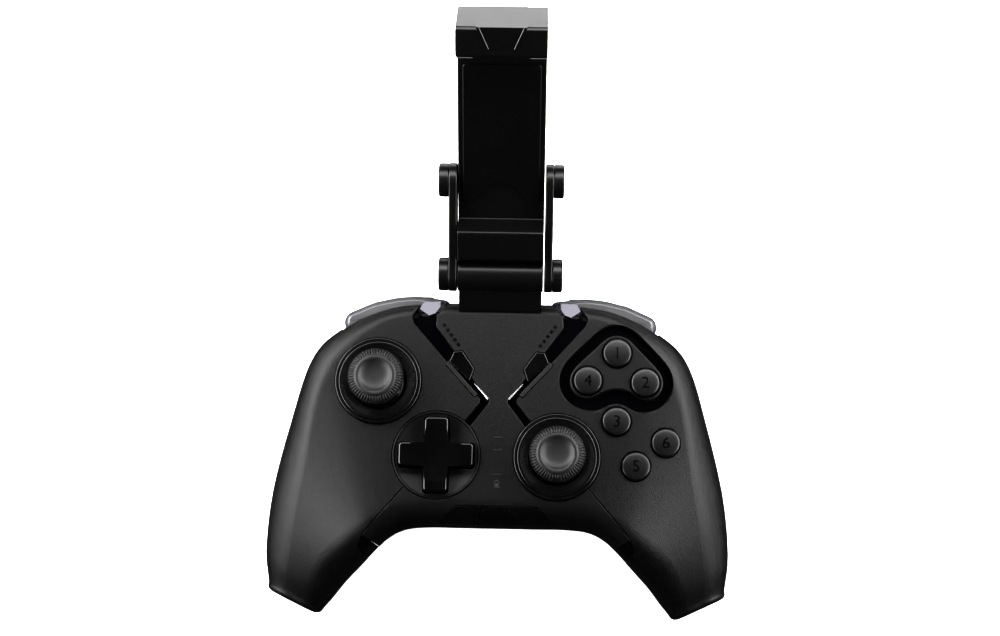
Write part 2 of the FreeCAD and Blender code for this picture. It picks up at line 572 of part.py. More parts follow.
def stick_parts(name, x, y):
    """One thumb stick: ring, module, gimbal, cradle, post with dome, rubber cap."""
    seat, lip = RING_SEAT_Z + 0.1, FACE_Z - 0.6
    ring = turned([(RING_HOLE + RING_SEAT - 0.4, seat), (RING_R, seat), (RING_R, RING_TOP - 0.4),
                   (RING_R - 0.4, RING_TOP), (RING_R - 1.0, RING_TOP - 0.6), (RING_LIP + 0.4, RING_TOP - 0.2),
                   (RING_LIP, RING_TOP - 0.4), (RING_HOLE, lip), (RING_HOLE, lip - 0.5)], x, y)
    save(name + "_ring", ring)
    m, t = MODULE_HALF, MODULE_WALL
    base = BOARD_TOP
    box = block(x - m, x + m, y - m, y + m, base, MODULE_TOP).common(disc(x, y, MODULE_CORNER_R, base, MODULE_TOP))
    box = box.cut(block(x - m + t, x + m - t, y - m + t, y + m - t, base + 1.2, 60))
    for s in (-1, 1):
        box = box.cut(block(x - m - 1, x + m + 1, y + s * m - t - 0.1, y + s * m + t + 0.1, MODULE_TOP - 2.6, 60))
    axle = Part.makeCylinder(AXLE_R + AXLE_GAP, 40, Vector(x - 20, y, STICK_PIVOT_Z), Vector(1, 0, 0))
    save(name + "_module", box.cut(axle))
    g, b, h = GIMBAL_HALF, GIMBAL_BORE, GIMBAL_T / 2
    z = STICK_PIVOT_Z
    gimbal = block(x - g, x + g, y - g, y + g, z - h, z + h)
    gimbal = gimbal.fuse(Part.makeCylinder(AXLE_R, 2 * (m - 0.2), Vector(x - m + 0.2, y, z), Vector(1, 0, 0)))
    gimbal = gimbal.cut(block(x - b, x + b, y - b, y + b, z - 9, z + 9))
    gimbal = gimbal.cut(Part.makeCylinder(YOKE_AXLE_R + AXLE_GAP, 30, Vector(x, y - 15, z), Vector(0, 1, 0)))
    save(name + "_gimbal", gimbal)
    c, h = CRADLE_HALF, CRADLE_T / 2
    cradle = block(x - c, x + c, y - c, y + c, z - h, z + h)
    cradle = cradle.fuse(Part.makeCylinder(YOKE_AXLE_R, 2 * (g - 0.3), Vector(x, y - g + 0.3, z), Vector(0, 1, 0)))
    save(name + "_cradle", cradle.cut(disc(x, y, POST_R + AXLE_GAP, 0, 60)))
    steps = [math.radians(DOME_ANGLE * k / DOME_STEPS) for k in range(DOME_STEPS + 1)]
    dome = [(DOME_R * math.sin(a), z + DOME_R * math.cos(a)) for a in steps[1:]]
    under = [((DOME_R - DOME_T) * math.sin(a), z + (DOME_R - DOME_T) * math.cos(a)) for a in steps[::-1]]
    under = [p for p in under if p[0] > POST_R]
    top = CAP_TOP - CAP_DISH - 1.4
    post = turned([(0, z - 3.2), (POST_R, z - 3.2), (POST_R, z + DOME_R - DOME_T)] + under[::-1] + dome[::-1]
                  + [(COLLAR_R + 0.9, z + DOME_R - 0.6), (COLLAR_R, z + DOME_R + 0.8), (COLLAR_R, top), (0, top)], x, y)
    save(name + "_post", post)
    cap_low = CAP_TOP - CAP_T
    body = turned([(COLLAR_R, cap_low - 1.6), (COLLAR_R + 1.2, cap_low - 1.6), (CAP_R - 1.6, cap_low),
                   (CAP_R, cap_low + 1.2), (CAP_R, CAP_TOP - 2.2), (CAP_R - 1.3, CAP_TOP - 0.4),
                   (CAP_R - 2.4, CAP_TOP), (CAP_DISH_R, CAP_TOP - 0.1),
                   (CAP_DISH_R - 1.2, CAP_TOP - 0.8), (CAP_DISH_R - 3.4, CAP_TOP - CAP_DISH), (0, CAP_TOP - CAP_DISH),
                   (0, top), (COLLAR_R, top)], x, y)
    star = []
    for k in range(CAP_RIBS):
        for part, r in ((0.0, CAP_R + 1), (0.5, CAP_R + 1), (0.62, CAP_R - RIB_DEPTH), (0.88, CAP_R - RIB_DEPTH)):
            a = 2 * math.pi * (k + part) / CAP_RIBS
            star.append((x + r * math.cos(a), y + r * math.sin(a)))
    save(name + "_cap", body.common(poly(star, cap_low - 3.0, CAP_TOP + 1)))


stick_parts("left_stick", *STICK_L)
stick_parts("right_stick", *STICK_R)


def cross_pad():
    """The dished disc, the cross, its gimbal ring and the plunger under it."""
    x, y = DPAD
    plate = turned([(0, CHASSIS_TOP), (DISC_R, CHASSIS_TOP), (DISC_R, FACE_Z + 0.1), (DISC_R - 0.5, FACE_Z + 0.5),
                    (DISC_R - 1.1, FACE_Z + 0.1), (DISC_R - 3.5, FACE_Z - 0.6), (6.0, FACE_Z - DISC_DISH + 0.2),
                    (0, FACE_Z - DISC_DISH)], x, y)
    plate = plate.cut(cross_prism(CROSS_HALF + CROSS_GAP, ARM_HALF + CROSS_GAP, 30, 60))
    save("dpad_disc", plate)
    z = CROSS_PIVOT_Z
    cross = cross_prism(CROSS_HALF, ARM_HALF, CROSS_BASE, CROSS_TOP)
    upright = [e for e in cross.Edges if abs(e.tangentAt(e.FirstParameter).z) > 0.9
               and math.hypot(e.CenterOfMass.x - x, e.CenterOfMass.y - y) > 9]
    cross = cross.makeChamfer(0.9, upright)
    top = [e for e in cross.Edges if min(v.Z for v in e.Vertexes) > CROSS_TOP - 0.01]
    cross = cross.makeChamfer(0.6, top)
    dish = Part.makeSphere(60.0, Vector(x, y, CROSS_TOP - 0.7 + 60.0))
    cross = cross.cut(dish)
    hub = disc(x, y, HUB_R, PLUNGER_Z + PLUNGER_T, CROSS_BASE + 0.5)
    pin = Part.makeCylinder(YOKE_AXLE_R, 2 * (HUB_RING_R - 0.4), Vector(x, y - HUB_RING_R + 0.4, z), Vector(0, 1, 0))
    feet = [disc(x + 9 * a, y + 9 * b, 1.6, KEY_FOOT_Z, PLUNGER_Z + 0.1) for a, b in ((1, 0), (-1, 0), (0, 1), (0, -1))]
    plunger = cross_prism(10.6, 2.2, PLUNGER_Z, PLUNGER_Z + PLUNGER_T)
    save("dpad_cross", fuse(cross, hub, pin, plunger, *feet))
    ring = disc(x, y, HUB_RING_R, z - HUB_RING_T / 2, z + HUB_RING_T / 2)
    ring = ring.fuse(Part.makeCylinder(YOKE_AXLE_R, 18.2, Vector(x - 9.1, y, z), Vector(1, 0, 0)))
    ring = ring.cut(disc(x, y, HUB_RING_BORE, 0, 60))
    ring = ring.cut(Part.makeCylinder(YOKE_AXLE_R + AXLE_GAP, 30, Vector(x, y - 15, z), Vector(0, 1, 0)))
    save("dpad_gimbal", ring)


cross_pad()


def face_z(x, y):
    """Height of the casing's top face over a point, between the two nearest sections."""
    rows = []
    for xi, yi, xo, yo, top, _, _, _ in RIBS:
        rows.append((xi + (xo - xi) * (y - yi) / (yo - yi), top))
    for (x0, top0), (x1, top1) in zip(rows, rows[1:]):
        if x <= x1:
            share = max(0.0, (abs(x) - x0) / (x1 - x0))
            return top0 + (top1 - top0) * share
    return rows[-1][1]


for i, (x, y) in enumerate(BUTTONS):
    rim = [face_z(x + FLANGE_R * math.cos(a), y + FLANGE_R * math.sin(a)) for a in (0.0, 0.8, 1.6, 2.4, 3.2, 4.0, 4.8, 5.6)]
    flange_top = min(rim) - FACE_Z + CHASSIS_BOTTOM - FLANGE_GAP
    crown = BUTTON_TOP + (ISLAND_TOP - FACE_Z if i in ISLAND_BUTTONS else face_z(x, y) - FACE_Z)
    button = turned([(0, KEY_FOOT_Z), (2.2, KEY_FOOT_Z), (2.2, flange_top - FLANGE_T), (FLANGE_R, flange_top - FLANGE_T),
                     (FLANGE_R, flange_top), (BUTTON_R, flange_top), (BUTTON_R, crown - 0.6 - BUTTON_CROWN),
                     (BUTTON_R - 0.2, crown - 0.2 - BUTTON_CROWN), (BUTTON_R - 0.7, crown - BUTTON_CROWN),
                     (BUTTON_R * 0.6, crown - 0.15), (0, crown)], x, y)
    save("button_%d" % (i + 1), button)

KEY_TOP = FACE_Z + 0.4
KEY_FLOOR = FACE_Z - 7.0
hex_key = poly(HEX_KEY, KEY_FLOOR, KEY_TOP)
hex_key = hex_key.makeChamfer(0.35, [e for e in hex_key.Edges if min(v.Z for v in e.Vertexes) > KEY_TOP - 0.01])
stem_xy = (sum(p[0] for p in HEX_KEY) / 6, sum(p[1] for p in HEX_KEY) / 6)
hex_key = fuse(hex_key, disc(stem_xy[0], stem_xy[1], 1.5, KEY_FOOT_Z, KEY_FLOOR + 0.5))
save("start_button", hex_key)
save("select_button", flip(hex_key))

menu_spots = []
for points, name in ((MENU_L, "menu_button_left"), (MENU_M, "menu_button_middle"), (MENU_R, "menu_button_right")):
    key = casing(-0.25).cut(casing(WALL, 2)).common(poly(points, MENU_FLOOR_Z, 60))
    key = max(key.Solids, key=lambda s: s.Volume)
    c = key.CenterOfMass
    spot = (c.x, -31.0)
    menu_spots.append(spot)
    key = key.fuse(disc(spot[0], spot[1], 1.3, KEY_FOOT_Z, 38.6))
    save(name, key.removeSplitter())


def trigger():
    """Right trigger: hub on its pin, arm, and a finger wall that follows the bumper's curve."""
    (py, pz), r = TRIGGER_PIVOT, TRIGGER_HUB_R
    x0 = TRIGGER_X[0]
    rows = []
    for x, shift in FINGER_BEND:
        arm, top = [Vector(x, y + shift * share, z) for y, z, share in ARM_TOP]
        root, elbow = [Vector(x, y + shift * share, z) for y, z, share in ARM_ROOT]
        back = [Vector(x, y + shift, z) for y, z in FINGER_BACK]
        tip = Vector(x, FINGER_TIP[0] + shift, FINGER_TIP[1])
        front = [Vector(x, y + shift, z) for y, z in FINGER_FRONT]
        hub = [Vector(x, py, pz - r), Vector(x, py - r, pz), Vector(x, py, pz + r)]
        rows.append(Part.Wire([
            Part.makeLine(hub[2], arm), Part.makeLine(arm, top), Part.makeLine(top, back[0]),
            Part.Arc(*back).toShape(), Part.Arc(back[2], tip, front[0]).toShape(), Part.Arc(*front).toShape(),
            Part.makeLine(front[2], elbow), Part.makeLine(elbow, root), Part.makeLine(root, hub[0]),
            Part.Arc(*hub).toShape()]))
    body = Part.makeLoft(rows, True, True)
    body = body.cut(block(x0 - 1, x0 + SPRING_LEN, py - r - 1, py + r + 1, 0, 40))
    return body.cut(Part.makeCylinder(TRIGGER_PIN_R + AXLE_GAP, 60, Vector(10, py, pz), Vector(1, 0, 0)))


SPRING_LEN = 4.2
SPRING_R = 2.4
SPRING_GAP = 0.25


def trigger_spring():
    """Wound torsion spring on the trigger pin, as the sleeve its turns fill, with its two legs."""
    x = TRIGGER_X[0]
    y, z = TRIGGER_PIVOT
    sleeve = Part.makeCylinder(SPRING_R, SPRING_LEN - 2 * SPRING_GAP, Vector(x + SPRING_GAP, y, z), Vector(1, 0, 0))
    leg = Part.makeCylinder(0.4, 7.0, Vector(x + SPRING_GAP + 0.6, y - SPRING_R + 0.4, z), Vector(0, 0, -1))
    body = sleeve.fuse(leg)
    return body.cut(Part.makeCylinder(TRIGGER_PIN_R + 0.1, 60, Vector(10, y, z), Vector(1, 0, 0)))


def bumper():
    """Right bumper: curved bar with a pivot eye at its inner end."""
    low, high = BUMPER_Z
    crown = [(x - 0.35, y - BUMPER_BEVEL) if i >= BUMPER_FIRST_OUTER else (x, y)
             for i, (x, y) in enumerate(BUMPER_OUTLINE)]
    body = poly(BUMPER_OUTLINE, low, high - BUMPER_BEVEL)
    rims = [Part.makePolygon([Vector(x, y, z) for x, y in points + points[:1]])
            for points, z in ((BUMPER_OUTLINE, high - BUMPER_BEVEL), (crown, high))]
    body = body.fuse(Part.makeLoft(rims, True, True))
    return body.cut(disc(BUMPER_PIVOT[0], BUMPER_PIVOT[1], BUMPER_PIN_R + AXLE_GAP, 20, 50))


right_trigger, right_bumper, right_spring = trigger(), bumper(), trigger_spring()
save("right_trigger", right_trigger)
save("left_trigger", flip(right_trigger))
save("right_bumper", right_bumper)
save("left_bumper", flip(right_bumper))
save("trigger_springs", flip(right_spring), right_spring)
long_pin = Part.makeCylinder(TRIGGER_PIN_R, TRIGGER_X[1] - TRIGGER_X[0] + 2 * LUG_T + 1.0,
                             Vector(TRIGGER_X[0] - TRIGGER_GAP - LUG_T, *TRIGGER_PIVOT), Vector(1, 0, 0))
short_pin = disc(BUMPER_PIVOT[0], BUMPER_PIVOT[1], BUMPER_PIN_R, BUMPER_Z[0] - 8.0, BUMPER_Z[1] + 0.3)
save("hinge_pins", flip(long_pin), long_pin, flip(short_pin), short_pin)

paddle = poly(paddle_outline(0.0), PADDLE_Z[0], PADDLE_Z[1])
low_edges = [e for e in paddle.Edges if max(v.Z for v in e.Vertexes) < PADDLE_Z[0] + 0.01]
paddle = paddle.makeChamfer(0.8, low_edges)
paddle = paddle.fuse(poly(paddle_outline(1.2), PADDLE_Z[1] - PADDLE_FLANGE_T, PADDLE_Z[1]))
save("right_rear_key", paddle)
save("left_rear_key", flip(paddle))

knob = block(-2.0, 2.0, SWITCH_Y - SWITCH_SLOT[1] + 0.3, SWITCH_Y + SWITCH_SLOT[1] - 0.3, 9.3, 12.6)
knob = knob.fuse(block(-8.0, 8.0, SWITCH_Y - 3.4, SWITCH_Y + 3.4, BELLY_Z + WALL + 0.25, BELLY_Z + WALL + 1.4))
save("mode_switch", knob)

port = block(-PORT[0], PORT[0], REAR_Y - 0.3 - PORT[2], REAR_Y - 0.3, PORT_Z - PORT[1], PORT_Z + PORT[1])
port = port.makeFillet(PORT[1] - 0.1, [e for e in port.Edges if abs(e.tangentAt(e.FirstParameter).y) > 0.9])
bore = block(-PORT[0] + PORT_WALL, PORT[0] - PORT_WALL, REAR_Y - PORT[2] + 1.0, REAR_Y + 1,
             PORT_Z - PORT[1] + PORT_WALL, PORT_Z + PORT[1] - PORT_WALL)
bore = bore.makeFillet(PORT[1] - PORT_WALL - 0.1, [e for e in bore.Edges if abs(e.tangentAt(e.FirstParameter).y) > 0.9])
contact = block(-3.2, 3.2, REAR_Y - PORT[2] + 0.5, REAR_Y - 1.6, PORT_Z - 0.35, PORT_Z + 0.35)
save("charging_port", port.cut(bore).fuse(contact))

BOARD_EDGE = [(-59.0, -14.0), (-59.0, 8.0), (-50.0, 21.0), (-44.0, 25.5), (-8.5, 25.5), (-8.5, 33.0), (8.5, 33.0),
              (8.5, 25.5), (44.0, 25.5), (50.0, 21.0), (59.0, 8.0), (59.0, -14.0), (42.0, -23.0), (33.0, -31.8),
              (-33.0, -31.8), (-42.0, -23.0)]


def board():
    """Main circuit board with its switches, chips and light sources."""
    low = BOARD_TOP - BOARD_T
    body = poly(BOARD_EDGE, low, BOARD_TOP).cut(bosses(SCREWS, BOSS_R + 0.3, 0, 60))
    switches = [(stem_xy[0], stem_xy[1]), (-stem_xy[0], stem_xy[1])] + menu_spots
    adds = [block(x - 1.8, x + 1.8, y - 1.8, y + 1.8, low + 0.5, BOARD_TOP + 1.6) for x, y in switches]
    adds += [disc(x, y, 1.1, low + 0.5, KEY_FOOT_Z - BUTTON_TRAVEL - 0.1) for x, y in switches]
    adds += [block(-1.5, 1.5, y - 0.8, y + 0.8, low + 0.5, BOARD_TOP + 0.8) for y in LIGHTS]
    adds += [block(-6.0, 6.0, 4.0, 16.0, low - 1.4, low + 0.5), block(24.0, 31.0, -8.0, 2.0, low - 1.2, low + 0.5)]
    return fuse(body, *adds)


save("main_board", board())

sheet = rounded_hull([BUTTONS[i] for i in (4, 5, 1, 0, 3)], DOME_KEY_R + 1.0, BOARD_TOP, BOARD_TOP + MEMBRANE_T)
domes = bosses(BUTTONS, DOME_KEY_R, BOARD_TOP + MEMBRANE_T - 0.1, BOARD_TOP + MEMBRANE_T + DOME_KEY_T)
pad_sheet = cross_prism(12.5, 4.4, BOARD_TOP, BOARD_TOP + MEMBRANE_T)
pad_domes = bosses([(DPAD[0] + 9 * a, DPAD[1] + 9 * b) for a, b in ((1, 0), (-1, 0), (0, 1), (0, -1))], 2.6,
                   BOARD_TOP + MEMBRANE_T - 0.1, BOARD_TOP + MEMBRANE_T + DOME_KEY_T)
save("key_membranes", fuse(sheet, *domes), fuse(pad_sheet, *pad_domes))

half, y0, y1, thick = BATTERY
battery = block(-half, half, y0, y1, WALL + 0.3, WALL + 0.3 + thick)
battery = battery.makeFillet(2.2, [e for e in battery.Edges if abs(e.tangentAt(e.FirstParameter).y) > 0.9])
save("battery", battery)

mx, my, mz = MOTOR
motor = Part.makeCylinder(MOTOR_R, MOTOR_LEN, Vector(mx - MOTOR_LEN / 2, my, mz), Vector(1, 0, 0))
motor = motor.fuse(Part.makeCylinder(0.8, 6.0, Vector(mx + MOTOR_LEN / 2 - 0.5, my, mz), Vector(1, 0, 0)))
save("rumble_motors", flip(motor), motor)
weight = Part.makeCylinder(4.6, 3.6, Vector(mx + MOTOR_LEN / 2 + 0.8, my, mz), Vector(1, 0, 0), 200)
weight = weight.fuse(Part.makeCylinder(2.0, 3.6, Vector(mx + MOTOR_LEN / 2 + 0.8, my, mz), Vector(1, 0, 0)))
weight = weight.cut(Part.makeCylinder(0.8 + AXLE_GAP, 60, Vector(mx - 30, my, mz), Vector(1, 0, 0)))
save("right_rumble_weight", weight)
save("left_rumble_weight", flip(weight))

guides = [block(-LIGHT_HALF[0] + 0.05, LIGHT_HALF[0] - 0.05, y - LIGHT_HALF[1] + 0.05, y + LIGHT_HALF[1] - 0.05,
                BOARD_TOP + 0.9, FACE_Z + 0.05) for y in LIGHTS]
save("light_guides", *guides)

screws = []
for x, y in SCREWS:
    screw = turned([(0, SCREW_SEAT_Z - SCREW_HEAD_T), (SCREW_HEAD_R - 0.5, SCREW_SEAT_Z - SCREW_HEAD_T),
                    (SCREW_HEAD_R, SCREW_SEAT_Z - SCREW_HEAD_T + 0.6), (SCREW_HEAD_R, SCREW_SEAT_Z),
                    (SCREW_R, SCREW_SEAT_Z), (SCREW_R, SCREW_TIP_Z - 0.8), (SCREW_R - 0.6, SCREW_TIP_Z), (0, SCREW_TIP_Z)],
                   x, y)
    screws.append(screw)
save("case_screws", *screws)


# Phone holder
def tilted(shape, slope, y, z):
    """Turn a piece drawn flat up to its slope and carry it to its hinge."""
    out = shape.copy()
    out.rotate(Vector(0, 0, 0), Vector(1, 0, 0), slope)
    out.translate(Vector(0, y, z))
    return out


PLATE_Y = HINGE_Y + LINK_LEN * math.cos(math.radians(LINK_SLOPE))
PLATE_Z = HINGE_Z + LINK_LEN * math.sin(math.radians(LINK_SLOPE))


def across(r, x0, x1, y=0.0, z=0.0):
    """Cylinder along X."""
    return Part.makeCylinder(r, x1 - x0, Vector(x0, y, z), Vector(1, 0, 0))


def profile_across(points, half):
    """Prism across the pad from (y, z) points."""
    wire = Part.makePolygon([Vector(-half, y, z) for y, z in points + points[:1]])
    return Part.Face(wire).extrude(Vector(2 * half, 0, 0))


def holder_base():
    """Foot on the rear edge of the casing, its clip, and the lower hinge barrel."""
    inner = REAR_Y + FOOT_GAP
    web = profile_across([(REAR_Y - 3.5, FACE_Z + 0.15), (REAR_Y - 0.8, FACE_Z - 1.1), (inner, FACE_Z - 3.8),
                          (inner, FOOT_LOW_Z), (inner + FOOT_T, FOOT_LOW_Z), (inner + FOOT_T, FACE_Z - 4.0),
                          (HINGE_Y + 2.1, HINGE_Z - 4.2), (HINGE_Y, HINGE_Z), (HINGE_Y - 4.8, HINGE_Z - 0.4),
                          (REAR_Y - 2.8, FACE_Z + 1.6)], BARREL_HALF - 0.4)
    barrel = across(BARREL_R, -BARREL_HALF, BARREL_HALF, HINGE_Y, HINGE_Z)
    body = fuse(web, barrel, tongue(0.0))
    for s in (-1, 1):
        body = body.cut(across(BOLT_R + AXLE_GAP, *sorted((s * (BOLT_IN - 0.3), s * 30)), HINGE_Y, HINGE_Z))
    return body


save("holder_base", holder_base())

link = block(LINK_IN, LINK_IN + LINK_T, 0, LINK_LEN, -LINK_HALF, LINK_HALF)
link = fuse(link, across(LINK_R, LINK_IN, LINK_IN + LINK_T), across(LINK_R, LINK_IN, LINK_IN + LINK_T, LINK_LEN))
link = link.cut([across(BOLT_R + 0.02, 0, 30), across(BOLT_R + 0.02, 0, 30, LINK_LEN)])
right_link = tilted(link, LINK_SLOPE, HINGE_Y, HINGE_Z)
save("right_link", right_link)
save("left_link", flip(right_link))

bolt = across(BOLT_R, BOLT_IN, KNOB_X + 0.5)
head = across(KNOB_R, KNOB_X, KNOB_X + KNOB_T)
head = head.makeChamfer(0.6, [e for e in head.Edges if e.CenterOfMass.x > KNOB_X + KNOB_T - 0.01])
bolt = fuse(bolt, head)
for name, y, z in (("lower_pivot_bolts", HINGE_Y, HINGE_Z), ("upper_pivot_bolts", PLATE_Y, PLATE_Z)):
    placed = tilted(bolt, 0.0, y, z)
    save(name, flip(placed), placed)


def clamp_body():
    """Back plate with the lower jaw and the slot that the upper jaw slides in."""
    body = profile_across([(LIP_END_U, PLATE_BACK), (LIP_END_U, JAW_N - 1.2), (LIP_END_U + 1.2, JAW_N),
                           (SHELF_U - 0.6, JAW_N), (SHELF_U, JAW_N - 0.6), (SHELF_U, PLATE_FRONT),
                           (PLATE_END_U, PLATE_FRONT), (PLATE_END_U, PLATE_BACK)], PLATE_HALF)
    low, high = SLIDE_N
    slot = block(-SLIDE_HALF - SLIDE_GAP, SLIDE_HALF + SLIDE_GAP, SLIDE_FOOT_U - 1.0, 80, low - SLIDE_GAP,
                 high + SLIDE_GAP)
    body = body.cut(slot)
    for s in (-1, 1):
        body = body.cut(across(BOLT_R + AXLE_GAP, *sorted((s * (BOLT_IN - 0.3), s * 30))))
    return tilted(body, PLATE_SLOPE, PLATE_Y, PLATE_Z)


save("clamp_body", clamp_body())

low, high, half = PAD
pad = poly([(-half, low), (-9.0, low), (-3.6, 0.6), (3.6, 0.6), (9.0, low), (half, low), (half, high), (-half, high)],
           PLATE_FRONT, PLATE_FRONT + PAD_T)
save("clamp_pad", tilted(pad, PLATE_SLOPE, PLATE_Y, PLATE_Z))


def upper_jaw():
    """Sliding jaw with its raised centre and the flat slide that runs in the back plate."""
    under, top, reach = UPPER_JAW
    body = profile_across([(under, PLATE_BACK + 0.4), (top, PLATE_BACK + 0.4), (top, reach - 0.8), (top - 0.8, reach),
                           (under + 0.8, reach), (under, reach - 0.8)], PLATE_HALF + 0.1)
    crest = poly([(-3.9, under + 3.4), (3.9, under + 3.4), (6.8, top + 0.6), (-6.8, top + 0.6)], PLATE_BACK + 0.6,
                 reach + 0.5)
    slide = block(-SLIDE_HALF, SLIDE_HALF, SLIDE_FOOT_U, under + 1.0, *SLIDE_N)
    return tilted(fuse(body, crest, slide), PLATE_SLOPE, PLATE_Y, PLATE_Z)


save("upper_jaw", upper_jaw())
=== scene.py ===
"""Looks of a gamepad with a folding phone holder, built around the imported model.

Sizes are in millimetres in the part's own frame: X to the right, Y to the rear, Z up out of
the face. Meshes are scaled to metres when they are made.
"""

import logging
import math
from dataclasses import astuple, dataclass, field, replace
from enum import Enum

import bmesh
import bpy
from mathutils import Matrix, Vector


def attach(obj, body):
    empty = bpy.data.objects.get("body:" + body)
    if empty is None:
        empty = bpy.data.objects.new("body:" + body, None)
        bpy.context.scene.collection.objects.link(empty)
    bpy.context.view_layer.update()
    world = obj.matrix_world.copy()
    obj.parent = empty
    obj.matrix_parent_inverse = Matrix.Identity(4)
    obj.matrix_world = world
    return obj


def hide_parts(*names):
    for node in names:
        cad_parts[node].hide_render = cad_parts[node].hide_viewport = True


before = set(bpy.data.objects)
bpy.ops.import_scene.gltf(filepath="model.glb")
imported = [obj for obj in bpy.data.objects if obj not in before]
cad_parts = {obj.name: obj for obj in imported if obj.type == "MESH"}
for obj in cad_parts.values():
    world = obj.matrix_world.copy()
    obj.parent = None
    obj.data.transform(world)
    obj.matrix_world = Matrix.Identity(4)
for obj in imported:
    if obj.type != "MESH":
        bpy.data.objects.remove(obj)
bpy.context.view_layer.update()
LOG = logging.getLogger("gamepad")
MM = 0.001  # metres in a millimetre
FAR = 120.0  # beyond the part on every side
FACE_TOP = 42.0  # height of the flat middle of the face
WALL = 2.0  # thickness of the casing
SIDES = (-1, 1)  # left and right, as the sign of X
TURN_STEPS = 96  # facets round a large turned piece
TINY = 1e-6  # lengths under this count as none
EDGE_SHARE = 0.45  # most of an edge that the rounding of one corner takes
MITRE_LIMIT = 0.35  # keeps a sharp corner from running far out when an outline grows
OVER_FACE = 60.0  # a height above everything that stands in the face
CREASE_FLAT = 20.0  # faces that meet at more degrees show a crease, on faceted pieces
CREASE_TURNED = 30.0  # the same on turned pieces
CREASE_SWEPT = 50.0  # the same on pieces with broad roundings
CREASE_ROD = 60.0  # the same on thin round pieces
Point = tuple[float, float]
Place = tuple[float, float, float]
Colour = tuple[float, float, float]

CLOUD_WAVES = 0.09 / MM  # waves per metre of the broad cloud in a colour
ROUGH_RANGE = (0.3, 0.7)  # noise values between which the roughness changes
SPECK_RANGE = (0.60, 0.74)  # noise values between which a speck comes up
SPECK_COLOUR = (0.35, 0.35, 0.36)
COAT_ROUGHNESS = 0.06
BRUSH_STRETCH = (0.06, 1.0, 1.0)


class Grain(Enum):
    """How the surface of a finish is textured."""

    MOULDED = "moulded"
    POLISHED = "polished"
    BRUSHED = "brushed"


class Join(Enum):
    """How a solid is combined with another."""

    CUT = "DIFFERENCE"
    ADD = "UNION"
    KEEP = "INTERSECT"


